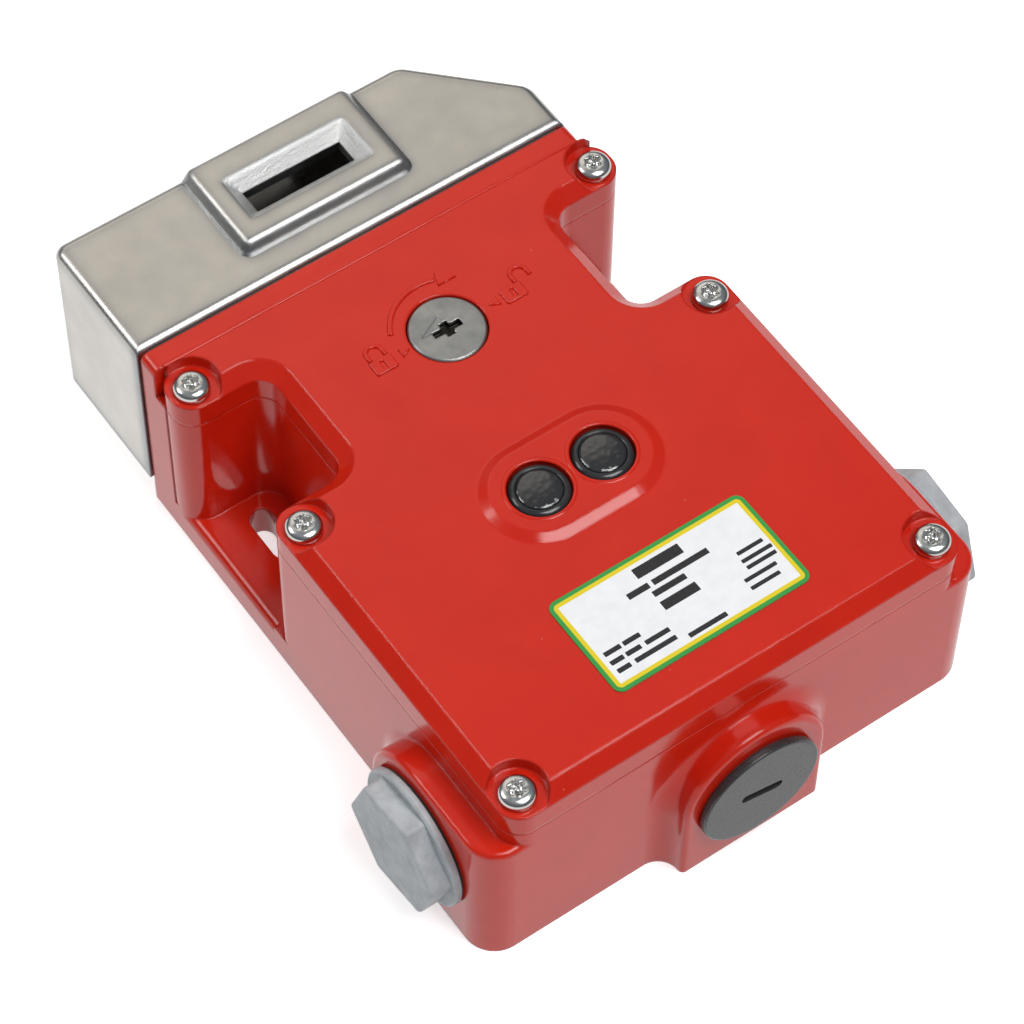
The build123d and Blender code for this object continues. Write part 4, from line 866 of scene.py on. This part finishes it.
def padlock(centre_x, shackle_x, look):
    """Outlines of a padlock: a body with a keyhole, and a shackle that starts at its top."""
    top = padlock_y + padlock_height / 2
    body = rounded_box((centre_x, padlock_y), padlock_width, padlock_height, 0.5)
    keyhole = rounded_box((centre_x, padlock_y - 0.1), 0.9, 2.1, 0.4)
    middle = (shackle_x, top + shackle_leg)

    def arch(radius):
        feet = [(shackle_x + reach, top + shackle_gap) for reach in (radius, -radius)]
        return [feet[0], *arc_points(middle, radius, 0, 180, 15), feet[1]]

    small = shackle_radius - look.band / mm
    return [body, keyhole], [band(arch(small), arch(shackle_radius))]


def release_signs(look):
    """Groups of outlines: the arrow's arc and head, two padlocks and two pointers."""
    half = look.band / mm / 2 + 0.08
    start, end = arrow_span
    arc = band(
        arc_points(arrow_centre, arrow_radius - half, start, end, 28),
        arc_points(arrow_centre, arrow_radius + half, start, end, 28),
    )
    groups = [[arc], [arrow_head]]
    groups += padlock(closed_padlock_x, closed_padlock_x, look)
    groups += padlock(open_padlock_x, open_padlock_x + 2 * shackle_radius - look.band / mm, look)
    groups += [[pointer] for pointer in pointers]
    return [[[(x * mm, y * mm) for x, y in outline] for outline in group] for group in groups]


# Plain bars on the rating plate, in millimetres from its middle: left end, right end, middle y, height
plate_bars = [
    (-4.9, 6.2, 8.2, 2.5), (-9.1, -4.0, 4.7, 1.4), (-3.1, 10.3, 4.7, 1.4),
    (-4.6, 3.2, 2.4, 1.4), (-4.7, 3.8, -0.8, 2.2), (-20.6, -16.7, -3.4, 1.1),
    (-16.1, -12.1, -3.4, 1.1), (-20.7, -17.6, -5.7, 1.1), (-17.0, -13.5, -5.7, 1.1),
    (-12.4, -6.7, -5.7, 1.1), (-20.6, -17.5, -7.9, 1.1), (-16.4, -6.6, -7.9, 1.1),
    (-4.5, 4.6, -9.2, 1.1), (14.4, 20.6, 0.6, 0.9), (14.1, 21.4, -1.4, 0.9),
    (14.1, 21.2, -3.1, 0.9), (11.9, 19.6, -5.3, 0.9), (11.9, 18.9, -7.4, 0.9),
]


# Operators
class SwitchOperator:
    """What the operators share."""

    bl_options = {"REGISTER", "UNDO"}

    def execute(self, context):
        self.build(context.scene.switch_look)
        return {"FINISHED"}


class SWITCH_OT_camera(SwitchOperator, bpy.types.Operator):
    """Set the camera at the angle of the product picture"""

    bl_idname = "switch.camera"
    bl_label = "Camera"

    def build(self, look):
        view = look.camera
        out = (cos(view.elevation) * sin(view.azimuth), -cos(view.elevation) * cos(view.azimuth))
        back = Vector((*out, sin(view.elevation)))
        level = Vector((cos(view.azimuth), sin(view.azimuth), 0.0))
        upright = back.cross(level)
        right = level * cos(view.roll) + upright * sin(view.roll)
        up = back.cross(right)
        camera = added("camera", bpy.data.cameras.new("camera"))
        turn = Matrix((right, up, back)).transposed().to_4x4()
        camera.matrix_world = Matrix.Translation(view.location) @ turn
        camera.data.sensor_width = 36.0
        camera.data.lens = view.lens
        camera.data.clip_start = 0.01
        camera.data.clip_end = 20.0
        bpy.context.scene.camera = camera


class SWITCH_OT_stage(SwitchOperator, bpy.types.Operator):
    """Lay the pale floor and hang the studio's lamps"""

    bl_idname = "switch.stage"
    bl_label = "Stage"

    def build(self, look):
        studio = look.studio
        bpy.context.scene.view_settings.view_transform = "Standard"
        self.lay_floor(studio)
        self.light_world(studio)
        self.hang_lamp("key_lamp", key_lamp_place, studio.key_size, studio.key_power)
        self.hang_lamp("rim_lamp", rim_lamp_place, studio.rim_size, studio.rim_power)

    def lay_floor(self, studio):
        half = studio.floor_size / 2
        mesh = bpy.data.meshes.new("floor")
        level = -floor_gap
        mesh.from_pydata(
            [(-half, -half, level), (half, -half, level), (half, half, level), (-half, half, level)],
            [],
            [(0, 1, 2, 3)],
        )
        floor = added("floor", mesh)
        material = bpy.data.materials.new("floor_white")
        material.use_nodes = True
        tree = material.node_tree
        tree.nodes.clear()
        place = shade(tree, "TexCoord", output="Object")
        cloud = remap(tree, noise(tree, place, 0.3, 2.0), 0.3, 0.7, 0.985, 1.0)
        white = times(tree, cloud, studio.floor_white)
        matt = shade(tree, "BsdfDiffuse", {"Color": white})
        lift = shade(tree, "Emission", {"Strength": studio.floor_lift})
        shown = shade(tree, "AddShader", {0: matt, 1: lift})
        glow = shade(tree, "Emission", {"Strength": 1.0})
        path = node(tree, "ShaderNodeLightPath").outputs
        mirrored = calc(tree, "MAXIMUM", path["Is Glossy Ray"], path["Is Transmission Ray"])
        seen = shade(tree, "MixShader", {0: path["Is Camera Ray"], 1: matt, 2: shown})
        seen = shade(tree, "MixShader", {0: mirrored, 1: seen, 2: glow})
        node(tree, "ShaderNodeOutputMaterial", {"Surface": seen})
        mesh.materials.append(material)

    def light_world(self, studio):
        world = bpy.data.worlds.new("studio")
        bpy.context.scene.world = world
        world.use_nodes = True
        tree = world.node_tree
        tree.nodes.clear()
        heading = shade(tree, "TexCoord", output="Generated")
        height = axes(tree, heading)[2]
        grey = remap(tree, height, 0.3, 0.9, studio.wall_grey, studio.ceiling_grey)
        grey = calc(tree, "MAXIMUM", grey, remap(tree, height, -0.02, 0.02, 1.0, 0.0))
        tinted = [times(tree, grey, part) for part in studio.wall_tint]
        shown = shade(tree, "CombineColor", dict(enumerate(tinted)))
        rear = self.screen(tree, heading, *rear_screen)
        rear = times(tree, rear, calc(tree, "GREATER_THAN", height, 0.0))
        shown = blend(tree, rear, shown, studio.screen_white)
        left = self.screen(tree, heading, *left_screen)
        shown = blend(tree, times(tree, left, studio.screen_power), shown, studio.screen_white)
        path = node(tree, "ShaderNodeLightPath").outputs
        seen = calc(tree, "MAXIMUM", path["Is Camera Ray"], path["Is Transmission Ray"])
        shown = blend(tree, seen, shown, (1.0, 1.0, 1.0))
        sky = shade(tree, "Background", {"Color": shown, "Strength": 1.0})
        node(tree, "ShaderNodeOutputWorld", {"Surface": sky})

    def screen(self, tree, heading, toward, low, high):
        """1 in a round patch of the world, 0 well away from it."""
        inputs = {0: heading, 1: Vector(toward).normalized()}
        facing = shade(tree, "VectorMath", inputs, operation="DOT_PRODUCT", output="Value")
        return remap(tree, facing, low, high)

    def hang_lamp(self, name, place, size, power):
        data = bpy.data.lights.new(name, "AREA")
        data.shape = "SQUARE"
        data.size = size
        data.energy = power
        lamp = added(name, data)
        lamp.location = place
        lamp.rotation_euler = Vector(place).to_track_quat("Z", "Y").to_euler()


class SWITCH_OT_castings(SwitchOperator, bpy.types.Operator):
    """Paint the housing and the cover"""

    bl_idname = "switch.castings"
    bl_label = "Housing and cover"

    def build(self, look):
        dress(cast_enamel(look.paint, "cast_enamel", look.paint.edge_radius), "housing", "cover")


class SWITCH_OT_head(SwitchOperator, bpy.types.Operator):
    """Polish the cast head"""

    bl_idname = "switch.head"
    bl_label = "Head"

    def build(self, look):
        dress(polished_casting(look.steel), "head")


class SWITCH_OT_release(SwitchOperator, bpy.types.Operator):
    """Turn the release"""

    bl_idname = "switch.release"
    bl_label = "Release"

    def build(self, look):
        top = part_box("release_shaft")[1].z
        # Painted shade down in the cross recess, from 6 mm to 0.8 mm under the release's top
        low, high = (*recess_low, top - 0.006), (*recess_high, top - 0.0008)
        turned = turned_steel(
            "turned_release", look.steel.release_tone, release_shift, release_ring, (0.3, 0.46), 0.0005,
            (low, high, look.steel.recess_shade_tone),
        )
        dress(turned, "release_shaft")


class SWITCH_OT_works(SwitchOperator, bpy.types.Operator):
    """Finish the steel, brass and copper works inside"""

    bl_idname = "switch.works"
    bl_label = "Works"

    def build(self, look):
        tone = look.steel.works_tone
        works = turned_steel("ground_works", tone, (0.0, 0.0, 0.0), works_ring, (0.25, 0.42))
        dress(
            works, "cam_wheel", "cam_pin", "plunger", "lock_slide", "armature", "release_cam",
            "release_clip",
        )
        wire = drawn_wire()
        dress(wire, "plunger_spring")
        coil = joined([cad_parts["lock_spring"].data.copy()])
        piece = finish_piece("lock_spring_coil", coil, wire, ["lock_spring"])
        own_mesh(piece)
        dress(zinc_sheet(), "solenoid_frame", "plunger_guide")
        dress(wound_copper(look.moulding), "solenoid_winding")
        dress(contact_brass(look.moulding), "contact_bridges", "fixed_contacts")


class SWITCH_OT_mouldings(SwitchOperator, bpy.types.Operator):
    """Finish the plugs, seals, blocks and boards"""

    bl_idname = "switch.mouldings"
    bl_label = "Mouldings"

    def build(self, look):
        tones = look.moulding
        for name, tone, sheens, mottle, nodes in (
            ("grey_plug", tones.grey_plug, (0.42, 0.6), 0.16, ["left_entry_plug", "right_entry_plug"]),
            ("black_plug", tones.black_plug, (0.2, 0.32), 0.14, ["end_entry_plug"]),
            ("black_moulding", tones.black, (0.3, 0.45), 0.3, ["contact_block", "solenoid_bobbin"]),
            ("white_moulding", tones.white, (0.4, 0.55), 0.05, ["contact_carriage"]),
            ("wire_clamps", tones.clamp, (0.4, 0.55), 0.12, ["terminal_blocks"]),
        ):
            dress(moulding(name, tone, tones.grain_width, sheens, mottle), *nodes)
        dress(circuit_laminate(tones), "terminal_board", "lamp_board")
        rubber = seal_rubber(tones)
        dress(rubber, "cover_gasket", "rod_seals", "release_seal", "entry_plug_washers")
        low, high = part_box("head_gasket")
        middle = ((low.x + high.x) / 2, (low.z + high.z) / 2)
        around = 2 * tones.gasket_inset
        width, height = high.x - low.x - around, high.z - low.z - around
        edge = 2 * tones.gasket_width
        outlines = [
            rounded_box(middle, width, height, tones.gasket_corner),
            rounded_box(middle, width - edge, height - edge, 0.6 * tones.gasket_corner),
        ]
        seal = raised_mesh(outlines, -(low.y + high.y) / 2, high.y - low.y, 0.0)
        seal.transform(Matrix.Rotation(pi / 2, 4, "X"))
        finish_piece("head_seal", joined([seal]), rubber, ["head_gasket"])


class SWITCH_OT_lamps(SwitchOperator, bpy.types.Operator):
    """Set the rings, lips and domes over the two lamps"""

    bl_idname = "switch.lamps"
    bl_label = "Lamps"

    def build(self, look):
        lamp = look.lamp
        dress(moulding("lamp_body", lamp.body, 0.0005, (0.15, 0.3)), "lamps")
        low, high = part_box("lamp_bezels")
        radius, middle = (high.y - low.y) / 2, (low.y + high.y) / 2
        places = [(x, middle, cover_top) for x in (low.x + radius, high.x - radius)]
        black = moulding("glossy_black", lamp.ring, look.moulding.grain_width, (0.06, 0.12), 0.2)
        rings = stood_on_points(places, lamp_ring_mesh(lamp), black, 1)
        finish_piece("lamp_rings", rings, black, ["lamp_bezels"])
        enamel = cast_enamel(look.paint, "lip_enamel", look.paint.sign_radius)
        lips = stood_on_points(places, lamp_lip_mesh(), enamel, 1)
        finish_piece("lamp_lips", lips, enamel)
        smoke = smoked_lens(lamp)
        domes = stood_on_points(places, lamp_dome_mesh(lamp), smoke, 1)
        finish_piece("lamp_domes", domes, smoke, ["lamp_lenses"])


class SWITCH_OT_screws(SwitchOperator, bpy.types.Operator):
    """Stand the six lid screws in their pockets and finish the others"""

    bl_idname = "switch.screws"
    bl_label = "Screws"

    def build(self, look):
        steel = bright_steel(look.steel)
        dress(
            steel, "head_screws", "plunger_guide_screws", "solenoid_screws", "contact_block_screws",
            "terminal_screws", "board_screws", "earth_screw", "lamp_board_screws", "release_cam_screw",
        )
        low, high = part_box("lid_screws")
        screw = look.lid_screw
        radius = screw.head_radius
        seat = cover_top - screw.seat_drop
        rows = (low.y + radius, middle_screw_y, high.y - radius)
        places = [(x, y, seat) for y in rows for x in (low.x + radius, high.x - radius)]
        mesh = stood_on_points(places, lid_screw_mesh(screw), steel, screw.seed)
        finish_piece("lid_screw_heads", mesh, steel, ["lid_screws"])


class SWITCH_OT_signs(SwitchOperator, bpy.types.Operator):
    """Raise the signs round the release and the bead along the end wall"""

    bl_idname = "switch.signs"
    bl_label = "Signs"

    def build(self, look):
        mark = look.mark
        base = cover_top + mark.rise / 2 - sign_sink
        meshes = [raised_mesh(group, base, mark.rise, mark.edge) for group in release_signs(mark)]
        enamel = cast_enamel(look.paint, "sign_enamel", look.paint.sign_radius)
        finish_piece("release_signs", joined(meshes), enamel)
        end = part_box("cover")[1].y
        outline = rounded_box((bead_x, end), mark.bead_length, mark.bead_width, 0.4 * mark.bead_width)
        edge = 0.35 * mark.bead_width
        bead = raised_mesh([outline], cover_top + mark.bead_rise - edge, 0.0001, edge)
        finish_piece("end_wall_bead", joined([bead]), enamel)


class SWITCH_OT_plate(SwitchOperator, bpy.types.Operator):
    """Print the rating plate's borders and bars"""

    bl_idname = "switch.plate"
    bl_label = "Rating plate"

    def build(self, look):
        low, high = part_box("rating_plate")
        centre, size = (low + high) / 2, high - low
        dress(printed_plate(look.plate, centre, size, plate_corner), "rating_plate")
        base = high.z + look.plate.ink_rise / 2 - ink_sink
        meshes = []
        for left, right, y, height in plate_bars:
            middle = (centre.x + (left + right) / 2 * mm, centre.y + y * mm)
            outline = rounded_box(middle, (right - left) * mm, height * mm, bar_corner)
            meshes.append(raised_mesh([outline], base, look.plate.ink_rise, 0.0))
        finish_piece("plate_bars", joined(meshes), printing_ink(look.plate))


operators = (
    SWITCH_OT_camera, SWITCH_OT_stage, SWITCH_OT_castings, SWITCH_OT_head, SWITCH_OT_release,
    SWITCH_OT_works, SWITCH_OT_mouldings, SWITCH_OT_lamps, SWITCH_OT_screws, SWITCH_OT_signs,
    SWITCH_OT_plate,
)


class SWITCH_PT_panel(bpy.types.Panel):
    """Lists the pieces in the order in which they are made"""

    bl_idname = "SWITCH_PT_panel"
    bl_label = "Tongue interlock switch"
    bl_space_type = "VIEW_3D"
    bl_region_type = "UI"
    bl_category = "Switch"

    def draw(self, context):
        for operator in operators:
            self.layout.operator(operator.bl_idname)


look_groups = (
    CameraLook, StudioLook, PaintLook, SteelLook, MouldingLook, LampLook, LidScrewLook, MarkLook,
    PlateLook, SwitchLook,
)


def register():
    for kind in (*look_groups, *operators, SWITCH_PT_panel):
        bpy.utils.register_class(kind)
    bpy.types.Scene.switch_look = PointerProperty(type=SwitchLook)


def unregister():
    del bpy.types.Scene.switch_look
    for kind in reversed((*look_groups, *operators, SWITCH_PT_panel)):
        bpy.utils.unregister_class(kind)


def main():
    register()
    for operator in operators:
        group, name = operator.bl_idname.split(".")
        getattr(getattr(bpy.ops, group), name)()


if __name__ == "__main__":
    main()
